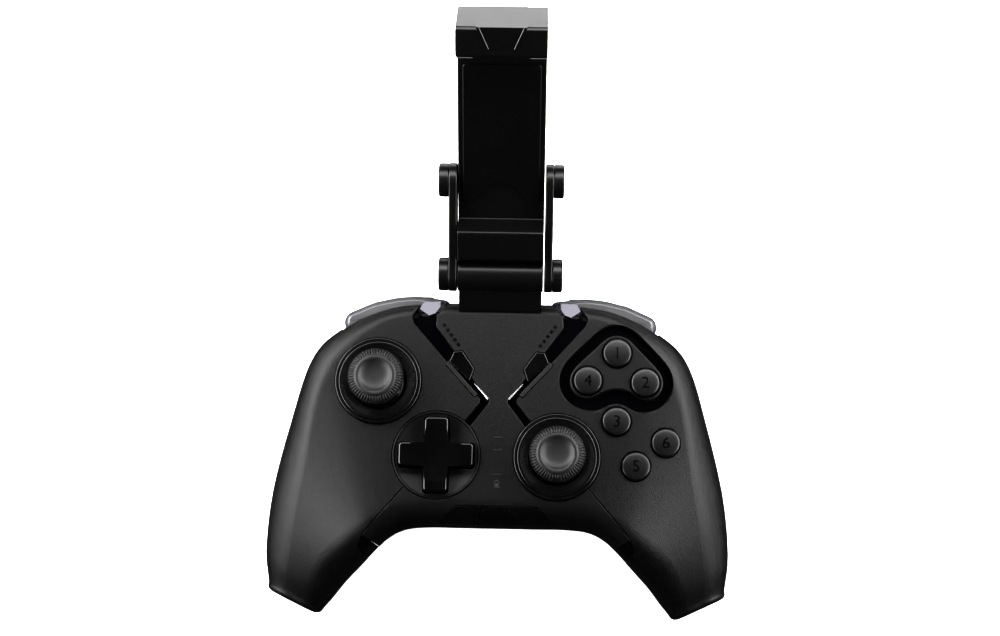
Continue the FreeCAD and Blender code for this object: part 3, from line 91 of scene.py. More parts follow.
@dataclass(frozen=True)
class Finish:
    """One surface finish, made as a node material.

    Colours are linear, grain is the size of the texture in millimetres, and relief is the
    strength of its bump.
    """

    name: str
    colour: Colour
    shade: Colour
    roughness: float
    spread: float = 0.06
    texture: Grain = Grain.MOULDED
    grain: float = 0.25
    relief: float = 0.12
    speck: float = 0.0
    metallic: float = 0.0
    coat: float = 0.0
    specular: float = 0.5
    glow: float = 0.0

    def material(self) -> bpy.types.Material:
        """Make the material, or return it if it is there.

        Returns:
            The node material of this finish.
        """
        title = self.name + "_finish"
        found = bpy.data.materials.get(title)
        if found is not None:
            return found
        made = bpy.data.materials.new(title)
        made.use_nodes = True
        tree = made.node_tree
        shader = tree.nodes["Principled BSDF"]
        shader.inputs["Metallic"].default_value = self.metallic
        shader.inputs["Coat Weight"].default_value = self.coat
        shader.inputs["Coat Roughness"].default_value = COAT_ROUGHNESS
        shader.inputs["Specular IOR Level"].default_value = self.specular
        if self.glow:
            shader.inputs["Emission Color"].default_value = (*self.colour, 1.0)
            shader.inputs["Emission Strength"].default_value = self.glow
        place = tree.nodes.new("ShaderNodeTexCoord").outputs["Object"]
        if self.texture is Grain.BRUSHED:
            place = self.stretched(tree, place)
        cloud = self.noise(tree, place, CLOUD_WAVES, 3.0)
        grain = self.noise(tree, place, 1.0 / (self.grain * MM), 2.0)
        colour = self.mixed(tree, cloud, self.shade, self.colour)
        if self.speck:
            colour = self.speckled(tree, place, colour)
        tree.links.new(colour, shader.inputs["Base Color"])
        value = cloud if self.texture is Grain.POLISHED else grain
        limits = (max(0.02, self.roughness - self.spread), min(1.0, self.roughness + self.spread))
        rough = self.ranged(tree, value, ROUGH_RANGE, limits)
        tree.links.new(rough, shader.inputs["Roughness"])
        bump = tree.nodes.new("ShaderNodeBump")
        bump.inputs["Strength"].default_value = self.relief
        bump.inputs["Distance"].default_value = self.grain * MM
        tree.links.new(grain, bump.inputs["Height"])
        tree.links.new(bump.outputs["Normal"], shader.inputs["Normal"])
        return made

    @staticmethod
    def noise(tree: bpy.types.NodeTree, place: bpy.types.NodeSocket, scale: float,
              detail: float) -> bpy.types.NodeSocket:
        """Add one noise texture.

        Args:
            tree: The material's nodes.
            place: Socket with the coordinates.
            scale: Waves per metre.
            detail: Octaves.

        Returns:
            The socket with the noise value.
        """
        made = tree.nodes.new("ShaderNodeTexNoise")
        made.inputs["Scale"].default_value = scale
        made.inputs["Detail"].default_value = detail
        tree.links.new(place, made.inputs["Vector"])
        return made.outputs["Fac"]

    @staticmethod
    def mixed(tree: bpy.types.NodeTree, share: bpy.types.NodeSocket,
              under: Colour | bpy.types.NodeSocket, over: Colour) -> bpy.types.NodeSocket:
        """Mix two colours.

        Args:
            tree: The material's nodes.
            share: Socket with the share of the second colour.
            under: The first colour, or the socket with it.
            over: The second colour.

        Returns:
            The socket with the mixed colour.
        """
        made = tree.nodes.new("ShaderNodeMix")
        made.data_type = "RGBA"
        factor, first, second = made.inputs[0], made.inputs[6], made.inputs[7]
        tree.links.new(share, factor)
        if isinstance(under, tuple):
            first.default_value = (*under, 1.0)
        else:
            tree.links.new(under, first)
        second.default_value = (*over, 1.0)
        return made.outputs[2]

    @staticmethod
    def ranged(tree: bpy.types.NodeTree, value: bpy.types.NodeSocket, source: Point,
               target: Point) -> bpy.types.NodeSocket:
        """Map one range of values to another.

        Args:
            tree: The material's nodes.
            value: Socket with the value.
            source: Least and greatest value that counts.
            target: What these two become.

        Returns:
            The socket with the mapped value.
        """
        made = tree.nodes.new("ShaderNodeMapRange")
        for title, number in zip(("From Min", "From Max", "To Min", "To Max"), source + target):
            made.inputs[title].default_value = number
        tree.links.new(value, made.inputs["Value"])
        return made.outputs["Result"]

    @staticmethod
    def stretched(tree: bpy.types.NodeTree,
                  place: bpy.types.NodeSocket) -> bpy.types.NodeSocket:
        """Draw the texture out along X, for brushed metal.

        Args:
            tree: The material's nodes.
            place: Socket with the coordinates.

        Returns:
            The socket with the stretched coordinates.
        """
        mapping = tree.nodes.new("ShaderNodeMapping")
        mapping.inputs["Scale"].default_value = BRUSH_STRETCH
        tree.links.new(place, mapping.inputs["Vector"])
        return mapping.outputs["Vector"]

    def speckled(self, tree: bpy.types.NodeTree, place: bpy.types.NodeSocket,
                 colour: bpy.types.NodeSocket) -> bpy.types.NodeSocket:
        """Lighten the colour in fine specks.

        Args:
            tree: The material's nodes.
            place: Socket with the coordinates.
            colour: Socket with the colour under the specks.

        Returns:
            The socket with the speckled colour.
        """
        dots = self.noise(tree, place, 1.6 / (self.grain * MM), 1.0)
        share = self.ranged(tree, dots, SPECK_RANGE, (0.0, self.speck))
        return self.mixed(tree, share, colour, SPECK_COLOUR)


def grey(value: float) -> Colour:
    """Neutral colour of one brightness."""
    return value, value, value


SHELL = Finish("shell_matte", (0.0014, 0.0014, 0.0013), (0.0010, 0.0010, 0.0009), 0.40,
               grain=0.26, relief=0.34, speck=0.05, specular=0.36)
SHELL_UNDER = Finish("shell_under_matte", grey(0.010), grey(0.008), 0.52, 0.07,
                     grain=0.30, relief=0.22, speck=0.04, specular=0.4)
GLOSS = Finish("gloss_black", (0.0016, 0.0016, 0.0024), (0.0010, 0.0010, 0.0016), 0.10, 0.03,
               Grain.POLISHED, grain=6.0, relief=0.01, coat=0.5)
KEY_GLOSS = Finish("key_gloss", (0.0025, 0.0025, 0.0028), (0.0016, 0.0016, 0.0018), 0.16, 0.04,
                   Grain.POLISHED, grain=2.0, relief=0.02, coat=0.5)
BUTTON = Finish("button_satin", grey(0.0035), grey(0.0028), 0.34, 0.05,
                grain=0.18, relief=0.06, specular=0.6)
LEGEND = Finish("legend_gloss", (0.0014, 0.0014, 0.0016), (0.0010, 0.0010, 0.0012), 0.22, 0.04,
                Grain.POLISHED, grain=1.0, relief=0.02)
CAP = Finish("stick_rubber", grey(0.009), grey(0.007), 0.46, 0.08, grain=0.16, relief=0.18)
RING = Finish("ring_satin", grey(0.0035), grey(0.0025), 0.26, 0.05,
              Grain.POLISHED, grain=0.5, relief=0.02, coat=0.4)
BUMPER = Finish("bumper_gunmetal", (0.13, 0.13, 0.134), (0.10, 0.10, 0.104), 0.36, 0.05,
                grain=0.12, relief=0.04, metallic=0.6)
TRIGGER = Finish("trigger_satin", grey(0.010), grey(0.008), 0.42, grain=0.2, relief=0.10)
HOLDER = Finish("holder_satin", (0.0030, 0.0030, 0.0029), (0.0022, 0.0022, 0.0021), 0.32, 0.04,
                grain=0.16, relief=0.006)
PAD = Finish("pad_rubber", grey(0.0015), grey(0.0010), 0.34,
             grain=0.20, relief=0.06, specular=0.4)
TRIM = Finish("trim_satin", grey(0.020), grey(0.016), 0.30, 0.05, grain=0.2, relief=0.03)
# Painted highlight: light grey metal for the thin rods that stand for light caught on the jaw's
# edges.
PAINTED_EDGE_GLINT = Finish("painted_edge_glint", grey(0.20), grey(0.16), 0.30, 0.05,
              Grain.POLISHED, grain=1.0, relief=0.01, metallic=0.9)
# Painted highlight: bright metal for the thin beads that stand for light caught on the gloss
# channel walls.
PAINTED_GLINT = Finish("painted_glint_bead", (0.55, 0.55, 0.57), (0.45, 0.45, 0.47), 0.16, 0.04,
               Grain.POLISHED, grain=1.0, relief=0.01, metallic=1.0)
FACET = Finish("facet_gloss", (0.030, 0.028, 0.045), (0.022, 0.020, 0.034), 0.12, 0.03,
               Grain.POLISHED, grain=4.0, relief=0.01, metallic=0.3, coat=0.6)
BOARD = Finish("board_green", (0.010, 0.085, 0.035), (0.006, 0.060, 0.026), 0.32,
               texture=Grain.POLISHED, grain=0.8, relief=0.06)
MEMBRANE = Finish("membrane_grey", (0.34, 0.35, 0.36), (0.28, 0.29, 0.30), 0.62, grain=0.3)
BATTERY = Finish("battery_wrap", (0.030, 0.055, 0.13), (0.022, 0.042, 0.10), 0.34,
                 texture=Grain.POLISHED, grain=1.4, relief=0.10)
STEEL = Finish("steel_bright", (0.56, 0.56, 0.57), (0.46, 0.46, 0.47), 0.26, 0.08,
               Grain.BRUSHED, grain=0.12, relief=0.08, metallic=1.0)
BRASS = Finish("weight_brass", (0.62, 0.46, 0.20), (0.52, 0.38, 0.16), 0.30, 0.07,
               Grain.BRUSHED, grain=0.12, relief=0.08, metallic=1.0)
LIGHT = Finish("light_clear", (0.030, 0.030, 0.031), (0.024, 0.024, 0.025), 0.30, 0.04,
               Grain.POLISHED, grain=0.5, relief=0.02)
PRINT = Finish("print_grey", grey(0.045), grey(0.035), 0.45, 0.05, grain=0.1, relief=0.03)
INNER = Finish("inner_plastic", (0.075, 0.075, 0.08), (0.060, 0.060, 0.064), 0.46,
               grain=0.3, relief=0.08)
FLOOR = Finish("floor_pale", grey(0.88), grey(0.86), 0.8, 0.05, grain=3.0, relief=0.02, glow=1.0)


def in_scene(name: str, data: bpy.types.ID) -> bpy.types.Object:
    """Make an object and link it to the scene.

    Args:
        name: Name of the object.
        data: Its mesh, curve, light or camera.

    Returns:
        The new object.
    """
    made = bpy.data.objects.new(name, data)
    bpy.context.scene.collection.objects.link(made)
    return made


def made_mesh(name: str, verts: list[Vector], faces: list[list[int]]) -> bpy.types.Object:
    """Make an object from points in millimetres.

    Args:
        name: Name of the object.
        verts: Points in millimetres.
        faces: Corner numbers of each face.

    Returns:
        The new object, linked to the scene, with outward faces.
    """
    mesh = bpy.data.meshes.new(name)
    mesh.from_pydata([v * MM for v in verts], [], faces)
    work = bmesh.new()
    work.from_mesh(mesh)
    bmesh.ops.recalc_face_normals(work, faces=work.faces)
    work.to_mesh(mesh)
    work.free()
    return in_scene(name, mesh)


def swept(name: str, rings: list[list[Vector]]) -> bpy.types.Object:
    """Join closed rings of equal length into one closed solid.

    Args:
        name: Name of the object.
        rings: The rings, each a list of points in millimetres.

    Returns:
        The new object.
    """
    count = len(rings[0])
    verts = [p for ring in rings for p in ring]
    faces = []
    for i in range(len(rings) - 1):
        a, b = i * count, (i + 1) * count
        for k in range(count):
            n = (k + 1) % count
            faces.append([a + k, a + n, b + n, b + k])
    faces.append(list(range(count))[::-1])
    faces.append([len(verts) - count + k for k in range(count)])
    return made_mesh(name, verts, faces)


def lathe(name: str, profile: list[Point], centre: Point,
          steps: int = TURN_STEPS) -> bpy.types.Object:
    """Turn a profile about an upright axis.

    Args:
        name: Name of the object.
        profile: Radius and height of each point, from the axis and back to it.
        centre: Where the axis stands.
        steps: Facets round the axis.

    Returns:
        The new object.
    """
    verts, rows = [], []
    for r, z in profile:
        if r < TINY:
            rows.append([len(verts)] * steps)
            verts.append(Vector((centre[0], centre[1], z)))
            continue
        rows.append(list(range(len(verts), len(verts) + steps)))
        for k in range(steps):
            a = 2 * math.pi * k / steps
            verts.append(Vector((centre[0] + r * math.cos(a), centre[1] + r * math.sin(a), z)))
    faces = []
    pairs = list(zip(rows, rows[1:]))
    if profile[0][0] > TINY:
        pairs.append((rows[-1], rows[0]))
    for low, high in pairs:
        for k in range(steps):
            n = (k + 1) % steps
            corners = [low[k], low[n], high[n], high[k]]
            face = [c for i, c in enumerate(corners) if c not in corners[:i]]
            if len(face) > 2:
                faces.append(face)
    return made_mesh(name, verts, faces)


def level(outline: list[Point], z: float) -> list[Vector]:
    """The points of an outline at one height."""
    return [Vector((x, y, z)) for x, y in outline]


def oblong(x: Point, y: Point) -> list[Point]:
    """Rectangle between two pairs of limits, anticlockwise."""
    return [(x[0], y[0]), (x[1], y[0]), (x[1], y[1]), (x[0], y[1])]


def prism(name: str, outline: list[Point], z0: float, z1: float) -> bpy.types.Object:
    """Upright prism over a closed outline."""
    return swept(name, [level(outline, z) for z in (z0, z1)])


def block(name: str, x: Point, y: Point, z: Point) -> bpy.types.Object:
    """Box between three pairs of limits."""
    return prism(name, oblong(x, y), *z)


def across(name: str, profile: list[Point], x0: float, x1: float) -> bpy.types.Object:
    """Prism along X over an outline of Y and Z."""
    return swept(name, [[Vector((x, y, z)) for y, z in profile] for x in (x0, x1)])


def turned(points: list[Point], centre: Point, angle: float) -> list[Point]:
    """Turn points in their plane and shift them.

    Args:
        points: The points, round the origin.
        centre: Where the origin goes.
        angle: Angle in degrees, anticlockwise.

    Returns:
        The turned points.
    """
    turn = math.radians(angle)
    return [(centre[0] + a * math.cos(turn) - b * math.sin(turn),
             centre[1] + a * math.sin(turn) + b * math.cos(turn)) for a, b in points]


def circle(centre: Point, r: float, steps: int = 64, start: float = 0.0,
           turn: float = 360.0) -> list[Point]:
    """Points on a circle or an arc.

    Args:
        centre: Centre of the circle.
        r: Radius.
        steps: Chords.
        start: Where the arc starts, in degrees.
        turn: How far it goes, in degrees, anticlockwise if positive.

    Returns:
        The points, with both ends for an arc.
    """
    whole = abs(turn) > 359.0
    count = steps if whole else steps + 1
    angles = [math.radians(start + turn * k / steps) for k in range(count)]
    return [(centre[0] + r * math.cos(a), centre[1] + r * math.sin(a)) for a in angles]


def rounded(outline: list[Point], radius: float, steps: int = 5) -> list[Point]:
    """Round the corners of a closed outline.

    Args:
        outline: Corner points in order.
        radius: Radius of each corner, less where its edges are short.
        steps: Chords in each arc.

    Returns:
        The outline with arcs at its corners.
    """
    out = []
    count = len(outline)
    for i, corner in enumerate(outline):
        here = Vector(corner)
        back, on = Vector(outline[i - 1]) - here, Vector(outline[(i + 1) % count]) - here
        if back.length < TINY or on.length < TINY:
            continue
        turn = back.angle(on)
        if turn > math.pi - 0.02:
            out.append(corner)
            continue
        reach = min(radius / math.tan(turn / 2), EDGE_SHARE * back.length,
                    EDGE_SHARE * on.length)
        r = reach * math.tan(turn / 2)
        start, end = here + back.normalized() * reach, here + on.normalized() * reach
        inward = (back.normalized() + on.normalized()).normalized()
        centre = here + inward * (r / math.sin(turn / 2))
        a, b = start - centre, end - centre
        whole = a.angle(b)
        for k in range(steps + 1):
            t = k / steps
            p = (a * math.sin((1 - t) * whole) + b * math.sin(t * whole)) / math.sin(whole) + centre
            out.append((p.x, p.y))
    return out


def signed_area(outline: list[Point]) -> float:
    """Area of a closed outline, positive if it runs anticlockwise."""
    ends = zip(outline, outline[1:] + outline[:1])
    return sum(x0 * y1 - x1 * y0 for (x0, y0), (x1, y1) in ends) / 2


def anticlockwise(outline: list[Point]) -> list[Point]:
    """The outline in anticlockwise order."""
    return outline if signed_area(outline) > 0 else outline[::-1]


def grown(outline: list[Point], d: float) -> list[Point]:
    """Move an anticlockwise outline out on every side.

    Args:
        outline: The closed outline.
        d: How far it moves out, or in if it is negative.

    Returns:
        The outline with as many points as before.
    """
    out = []
    count = len(outline)
    for i in range(count):
        (x0, y0), (x1, y1), (x2, y2) = outline[i - 1], outline[i], outline[(i + 1) % count]
        a, b = Vector((y1 - y0, x0 - x1)), Vector((y2 - y1, x1 - x2))
        if a.length < TINY or b.length < TINY:
            out.append((x1, y1))
            continue
        a, b = a.normalized(), b.normalized()
        k = d / max(MITRE_LIMIT, 1.0 + a.dot(b))
        out.append((x1 + (a.x + b.x) * k, y1 + (a.y + b.y) * k))
    return out


def divided(outline: list[Point], step: float = 2.5) -> list[Point]:
    """Add points on the long edges of a closed outline.

    Args:
        outline: The closed outline.
        step: Length of an edge that needs no point.

    Returns:
        The outline with its old and new points.
    """
    out = []
    for (x0, y0), (x1, y1) in zip(outline, outline[1:] + outline[:1]):
        count = max(1, int(math.hypot(x1 - x0, y1 - y0) / step))
        out += [(x0 + (x1 - x0) * k / count, y0 + (y1 - y0) * k / count) for k in range(count)]
    return out


def mirrored(outline: list[Point]) -> list[Point]:
    """The outline on the other side of the pad, anticlockwise if it was."""
    return [(-x, y) for x, y in outline][::-1]


def band(route: list[Point], width: float) -> list[Point]:
    """Closed outline of a strip.

    Args:
        route: Middle line of the strip.
        width: Its width.

    Returns:
        The outline, anticlockwise.
    """
    left, right = [], []
    for i, here in enumerate(route):
        back = Vector(here) - Vector(route[i - 1]) if i else Vector(route[1]) - Vector(here)
        on = Vector(route[i + 1]) - Vector(here) if i + 1 < len(route) else back
        along = (back.normalized() + on.normalized()).normalized()
        side = Vector((along.y, -along.x)) * (width / 2 / max(0.5, along.dot(on.normalized())))
        right.append((here[0] + side.x, here[1] + side.y))
        left.append((here[0] - side.x, here[1] - side.y))
    return anticlockwise(right + left[::-1])


def combined(target: bpy.types.Object, others: list[bpy.types.Object],
             how: Join = Join.CUT, exact: bool = False) -> bpy.types.Object:
    """Cut, join or intersect a solid with others, which are used up.

    Args:
        target: The solid that is changed.
        others: The solids to take away, to add or to keep what is common with.
        how: Which of these is done.
        exact: Use the slower solver, which also takes the solids of numbers.

    Returns:
        The target.
    """
    for other in others:
        step = target.modifiers.new("cut", "BOOLEAN")
        step.operation = how.value
        step.solver = "EXACT" if exact else "MANIFOLD"
        step.object = other
        applied(target)
        bpy.data.meshes.remove(other.data)
    return target


def applied(piece: bpy.types.Object) -> bpy.types.Object:
    """Apply the modifiers of a piece.

    Args:
        piece: The piece.

    Returns:
        The piece, with the result as its mesh.
    """
    graph = bpy.context.evaluated_depsgraph_get()
    mesh = bpy.data.meshes.new_from_object(piece.evaluated_get(graph))
    old = piece.data
    piece.modifiers.clear()
    piece.data = mesh
    mesh.name = piece.name
    bpy.data.meshes.remove(old)
    return piece


def bevelled(piece: bpy.types.Object, width: float, steps: int = 3,
             angle: float = 35.0) -> bpy.types.Object:
    """Round the sharp edges of a piece.

    Args:
        piece: The piece.
        width: Width of the rounding in millimetres.
        steps: Segments across the rounding.
        angle: Edges sharper than this, in degrees, are rounded.

    Returns:
        The piece.
    """
    step = piece.modifiers.new("round", "BEVEL")
    step.width = width * MM
    step.segments = steps
    step.limit_method = "ANGLE"
    step.angle_limit = math.radians(angle)
    step.miter_outer = "MITER_ARC"
    return applied(piece)


def smoothed(piece: bpy.types.Object, angle: float = 38.0) -> bpy.types.Object:
    """Shade a piece smooth between its sharp edges.

    Args:
        piece: The piece.
        angle: Edges sharper than this, in degrees, stay sharp.

    Returns:
        The piece.
    """
    mesh = piece.data
    mesh.polygons.foreach_set("use_smooth", [True] * len(mesh.polygons))
    mesh.set_sharp_from_angle(angle=math.radians(angle))
    weigh = piece.modifiers.new("normals", "WEIGHTED_NORMAL")
    weigh.keep_sharp = True
    return applied(piece)


def moved(piece: bpy.types.Object, matrix: Matrix) -> bpy.types.Object:
    """Move the mesh of a piece.

    Args:
        piece: The piece.
        matrix: The movement, in millimetres.

    Returns:
        The piece.
    """
    matrix = matrix.copy()
    matrix.translation *= MM
    piece.data.transform(matrix)
    return piece


def joined(name: str, parts: list[bpy.types.Object]) -> bpy.types.Object:
    """Put several meshes into one object, each as its own closed shell.

    Args:
        name: Name of the new object.
        parts: The pieces, which are used up.

    Returns:
        The new object.
    """
    work = bmesh.new()
    for part in parts:
        work.from_mesh(part.data)
        bpy.data.meshes.remove(part.data)
    mesh = bpy.data.meshes.new(name)
    work.to_mesh(mesh)
    work.free()
    return in_scene(name, mesh)


def other_side(name: str, piece: bpy.types.Object) -> bpy.types.Object:
    """Copy a piece to the other side of the pad.

    Args:
        name: Name of the copy.
        piece: The piece, which stays as it is.

    Returns:
        The copy.
    """
    mesh = piece.data.copy()
    mesh.transform(Matrix.Scale(-1, 4, Vector((1, 0, 0))))
    mesh.flip_normals()
    return in_scene(name, mesh)


def paired(name: str, right: bpy.types.Object) -> list[tuple[str, bpy.types.Object]]:
    """The right piece and its copy on the left, each with the name of its side."""
    return [("right", right), ("left", other_side("left_" + name, right))]


def placed(piece: bpy.types.Object, finish: Finish, body: str, slot: str,
           *nodes: str) -> bpy.types.Object:
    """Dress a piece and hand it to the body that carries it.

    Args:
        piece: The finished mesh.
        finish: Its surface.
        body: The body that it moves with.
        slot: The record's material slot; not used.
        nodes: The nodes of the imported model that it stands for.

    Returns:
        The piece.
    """
    piece.data.materials.clear()
    piece.data.materials.append(finish.material())
    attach(piece, body)
    if nodes:
        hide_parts(*nodes)
    LOG.info("%s: %d faces on %s", piece.name, len(piece.data.polygons), body)
    return piece


def dressed(finish: Finish, *nodes: str) -> None:
    """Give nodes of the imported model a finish.

    Args:
        finish: The surface.
        nodes: Names of the nodes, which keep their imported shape.
    """
    for name in nodes:
        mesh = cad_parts[name].data
        made = finish.material()
        if not mesh.materials:
            mesh.materials.append(made)
        for i in range(len(mesh.materials)):
            mesh.materials[i] = made
        LOG.info("%s: dressed in %s", name, finish.name)


@dataclass(frozen=True)
class Rib:
    """One section of the casing: its two ends in plan, its heights and its top roundings."""

    front_x: float
    front_y: float
    rear_x: float
    rear_y: float
    top: float
    bottom: float
    rear_round: float
    front_round: float

    def values(self) -> list[float]:
        """The sizes as a list."""
        return list(astuple(self))


@dataclass
class CasingForm:
    """The moulded outer form of the pad, swept smoothly through the casing's sections."""

    ribs: tuple[Rib, ...] = (
        Rib(12.0, -35.1, 12.0, 38.4, 42.0, 10.0, 4.5, 8.0),
        Rib(23.0, -35.1, 25.0, 38.0, 42.0, 10.0, 4.5, 8.0),
        Rib(31.0, -36.0, 38.5, 35.9, 42.0, 9.0, 5.0, 8.0),
        Rib(37.0, -39.0, 53.5, 29.6, 41.6, 7.4, 9.0, 8.0),
        Rib(42.2, -44.0, 63.6, 20.2, 40.3, 4.6, 13.5, 9.0),
        Rib(47.0, -48.9, 70.8, -1.3, 37.4, 1.8, 16.0, 10.0),
        Rib(51.9, -54.1, 76.3, -23.6, 32.4, 0.2, 14.5, 10.0),
        Rib(55.9, -59.4, 78.28, -42.8, 26.4, 0.9, 11.0, 8.0),
        Rib(58.9, -63.3, 77.2, -54.6, 21.6, 3.4, 8.0, 6.0),
    )
    seam_height: float = 20.0
    seam_slope: float = 0.14
    under_round: float = 8.0
    tip_round: float = 2.08
    stations: int = 8
    tip_steps: int = 6
    middle_steps: int = 8
    arc_steps: int = 10
    top_steps: int = 26
    least_top_round: float = 1.0
    least_under_round: float = 0.8
    least_share: float = 0.35
    height_steps: int = 22
    lip_turns: tuple[float, ...] = (0.0, 25.0, 50.0, 75.0)
    lip_rise: float = 0.04
    cut_top: float = 70.0

    def seam(self, y: float) -> float:
        """Height of the parting plane."""
        return self.seam_height + self.seam_slope * y

    def rib_at(self, u: float) -> Rib:
        """Section between two ribs.

        Args:
            u: Place along the grip, 0 at the first rib and 1 more at each next one.

        Returns:
            The section there, on a smooth curve through the ribs.
        """
        i = min(int(u), len(self.ribs) - 2)
        t = u - i
        rows = [rib.values() for rib in self.ribs]
        inner = [-rows[0][0], rows[0][1], -rows[0][2]] + rows[0][3:]
        p0 = rows[i - 1] if i else inner
        p1, p2 = rows[i], rows[i + 1]
        p3 = rows[i + 2] if i + 2 < len(rows) else [2 * b - a for a, b in zip(p1, p2)]
        out = []
        for a, b, c, d in zip(p0, p1, p2, p3):
            bend = 2 * a - 5 * b + 4 * c - d + t * (3 * (b - c) + d - a)
            out.append(b + t / 2 * (c - a + t * bend))
        return Rib(*out)

    def profile(self, rib: Rib, side: int, inset: float,
                end: float = 0.0) -> tuple[list[Vector], list[Vector]]:
        """Points round one section.

        Args:
            rib: The section.
            side: 1 on the right, -1 on the left.
            inset: How far the form is drawn in.
            end: How far the section is moved towards the tip.

        Returns:
            The points over the parting plane from rear to front, and those under it from front
            to rear.
        """
        dx, dy = rib.rear_x - rib.front_x, rib.rear_y - rib.front_y
        length = math.hypot(dx, dy)
        ux, uy = dx / length, dy / length
        x0, y0 = rib.front_x + uy * end, rib.front_y - ux * end
        a, b = inset, length - inset
        top, bottom = rib.top - inset, rib.bottom + inset
        z_rear, z_front = self.seam(rib.rear_y), self.seam(rib.front_y)

        def at(s: float, z: float) -> Vector:
            """Point of the section."""
            return Vector((side * (x0 + ux * s), y0 + uy * s, z))

        def arc(s: float, z: float, r: float, start: float) -> list[Vector]:
            """Quarter circle round a point of the section."""
            steps = self.arc_steps
            turns = [math.radians(start + 90.0 * k / steps) for k in range(steps + 1)]
            return [at(s + r * math.cos(t), z + r * math.sin(t)) for t in turns]

        def line(p: Vector, q: Vector, count: int) -> list[Vector]:
            """Points between two points, without them."""
            return [p.lerp(q, k / count) for k in range(1, count)]

        rt = max(rib.rear_round - inset, self.least_top_round)
        ft = max(rib.front_round - inset, self.least_top_round)
        ru = min(self.under_round, z_rear - rib.bottom - 1.0, z_front - rib.bottom - 1.0) - inset
        ru = max(ru, self.least_under_round)
        upper = [at(b, z_rear)] + line(at(b, z_rear), at(b, top - rt), 4)
        upper += arc(b - rt, top - rt, rt, 0.0)
        upper += line(at(b - rt, top), at(a + ft, top), self.top_steps)
        upper += arc(a + ft, top - ft, ft, 90.0)
        upper += line(at(a, top - ft), at(a, z_front), 4) + [at(a, z_front)]
        lower = [at(a, z_front)] + line(at(a, z_front), at(a, bottom + ru), 3)
        lower += arc(a + ru, bottom + ru, ru, 180.0)
        lower += line(at(a + ru, bottom), at(b - ru, bottom), self.top_steps)
        lower += arc(b - ru, bottom + ru, ru, 270.0)
        lower += line(at(b, bottom + ru), at(b, z_rear), 3) + [at(b, z_rear)]
        return upper, lower

    def sections(self, inset: float) -> list[tuple[list[Vector], list[Vector]]]:
        """All sections from the left tip to the right tip.

        Args:
            inset: How far the form is drawn in.

        Returns:
            The upper and lower points of each section.
        """
        rows = []
        count = (len(self.ribs) - 1) * self.stations + 1
        for side in SIDES:
            row = [self.profile(self.rib_at(k / self.stations), side, inset) for k in range(count)]
            for k in range(1, self.tip_steps + 1):
                turn = math.radians(90.0 / self.tip_steps * k)
                drawn = inset + self.tip_round * (1 - math.cos(turn))
                end = (self.tip_round - inset) * math.sin(turn)
                row.append(self.profile(self.ribs[-1], side, drawn, end))
            rows.append(row)
        first = self.ribs[0]
        middle = []
        for k in range(1, self.middle_steps):
            x = -first.front_x + 2 * first.front_x / self.middle_steps * k
            middle.append(self.profile(replace(first, front_x=x, rear_x=x), 1, inset))
        return rows[0][::-1] + middle + rows[1]

    def solid(self, name: str, inset: float = 0.0) -> bpy.types.Object:
        """The whole form as one closed solid."""
        return swept(name, [upper + lower[1:-1] for upper, lower in self.sections(inset)])

    def half(self, name: str, upper: bool, gap: float) -> bpy.types.Object:
        """The form over or under the parting plane, as a solid.

        Args:
            name: Name of the object.
            upper: True for the half over the parting plane.
            gap: Distance from the parting plane.

        Returns:
            The new object.
        """
        whole = self.solid(name)
        slope = math.atan(self.seam_slope)
        turn = Matrix.Translation((0, 0, self.seam_height)) @ Matrix.Rotation(slope, 4, "X")
        low, high = (gap, FAR) if upper else (-FAR, -gap)
        keep = moved(block("keep", (-FAR, FAR), (-FAR, FAR), (low, high)), turn)
        return combined(whole, [keep], Join.KEEP)

    def height(self, x: float, y: float) -> float:
        """Height of the top face over a point.

        Args:
            x: Place across the pad.
            y: Place along the pad.

        Returns:
            The height, taken at the nearest edge for a point beyond the form.
        """
        x = abs(x)
        low, high = 0.0, len(self.ribs) - 1.0
        for _ in range(self.height_steps):
            mid = (low + high) / 2
            rib = self.rib_at(mid)
            dx, dy = rib.rear_x - rib.front_x, rib.rear_y - rib.front_y
            if dx * (y - rib.front_y) - dy * (x - rib.front_x) < 0:
                low = mid
            else:
                high = mid
        rib = self.rib_at(low)
        dx, dy = rib.rear_x - rib.front_x, rib.rear_y - rib.front_y
        length = math.hypot(dx, dy)
        s = ((x - rib.front_x) * dx + (y - rib.front_y) * dy) / length
        drop = 0.0
        for gap, r in ((length - s, rib.rear_round), (s, rib.front_round)):
            if gap < r:
                inner = r - max(gap, self.least_share * r)
                drop = max(drop, r - math.sqrt(max(0.0, r * r - inner ** 2)))
        return rib.top - drop

    def cutter(self, name: str, outline: list[Point], low: float,
               lip: float) -> bpy.types.Object:
        """Solid that cuts an opening with rounded lips through the top face.

        Args:
            name: Name of the object.
            outline: Closed outline of the opening.
            low: Height that the cut goes down to.
            lip: Radius of the rounding round the opening.

        Returns:
            The cutting solid.
        """
        outline = divided(anticlockwise(outline))
        tops = [self.height(x, y) for x, y in outline]
        rings = [level(outline, low)]
        for turn in self.lip_turns:
            t = math.radians(turn)
            spread, drop = grown(outline, lip * (1 - math.cos(t))), lip * (1 - math.sin(t))
            rings.append([Vector((x, y, z - drop)) for (x, y), z in zip(spread, tops)])
        spread = grown(outline, lip * 0.95)
        rings.append([Vector((x, y, z + self.lip_rise)) for (x, y), z in zip(spread, tops)])
        return swept(name, rings + [level(spread, self.cut_top)])


FORM = CasingForm()


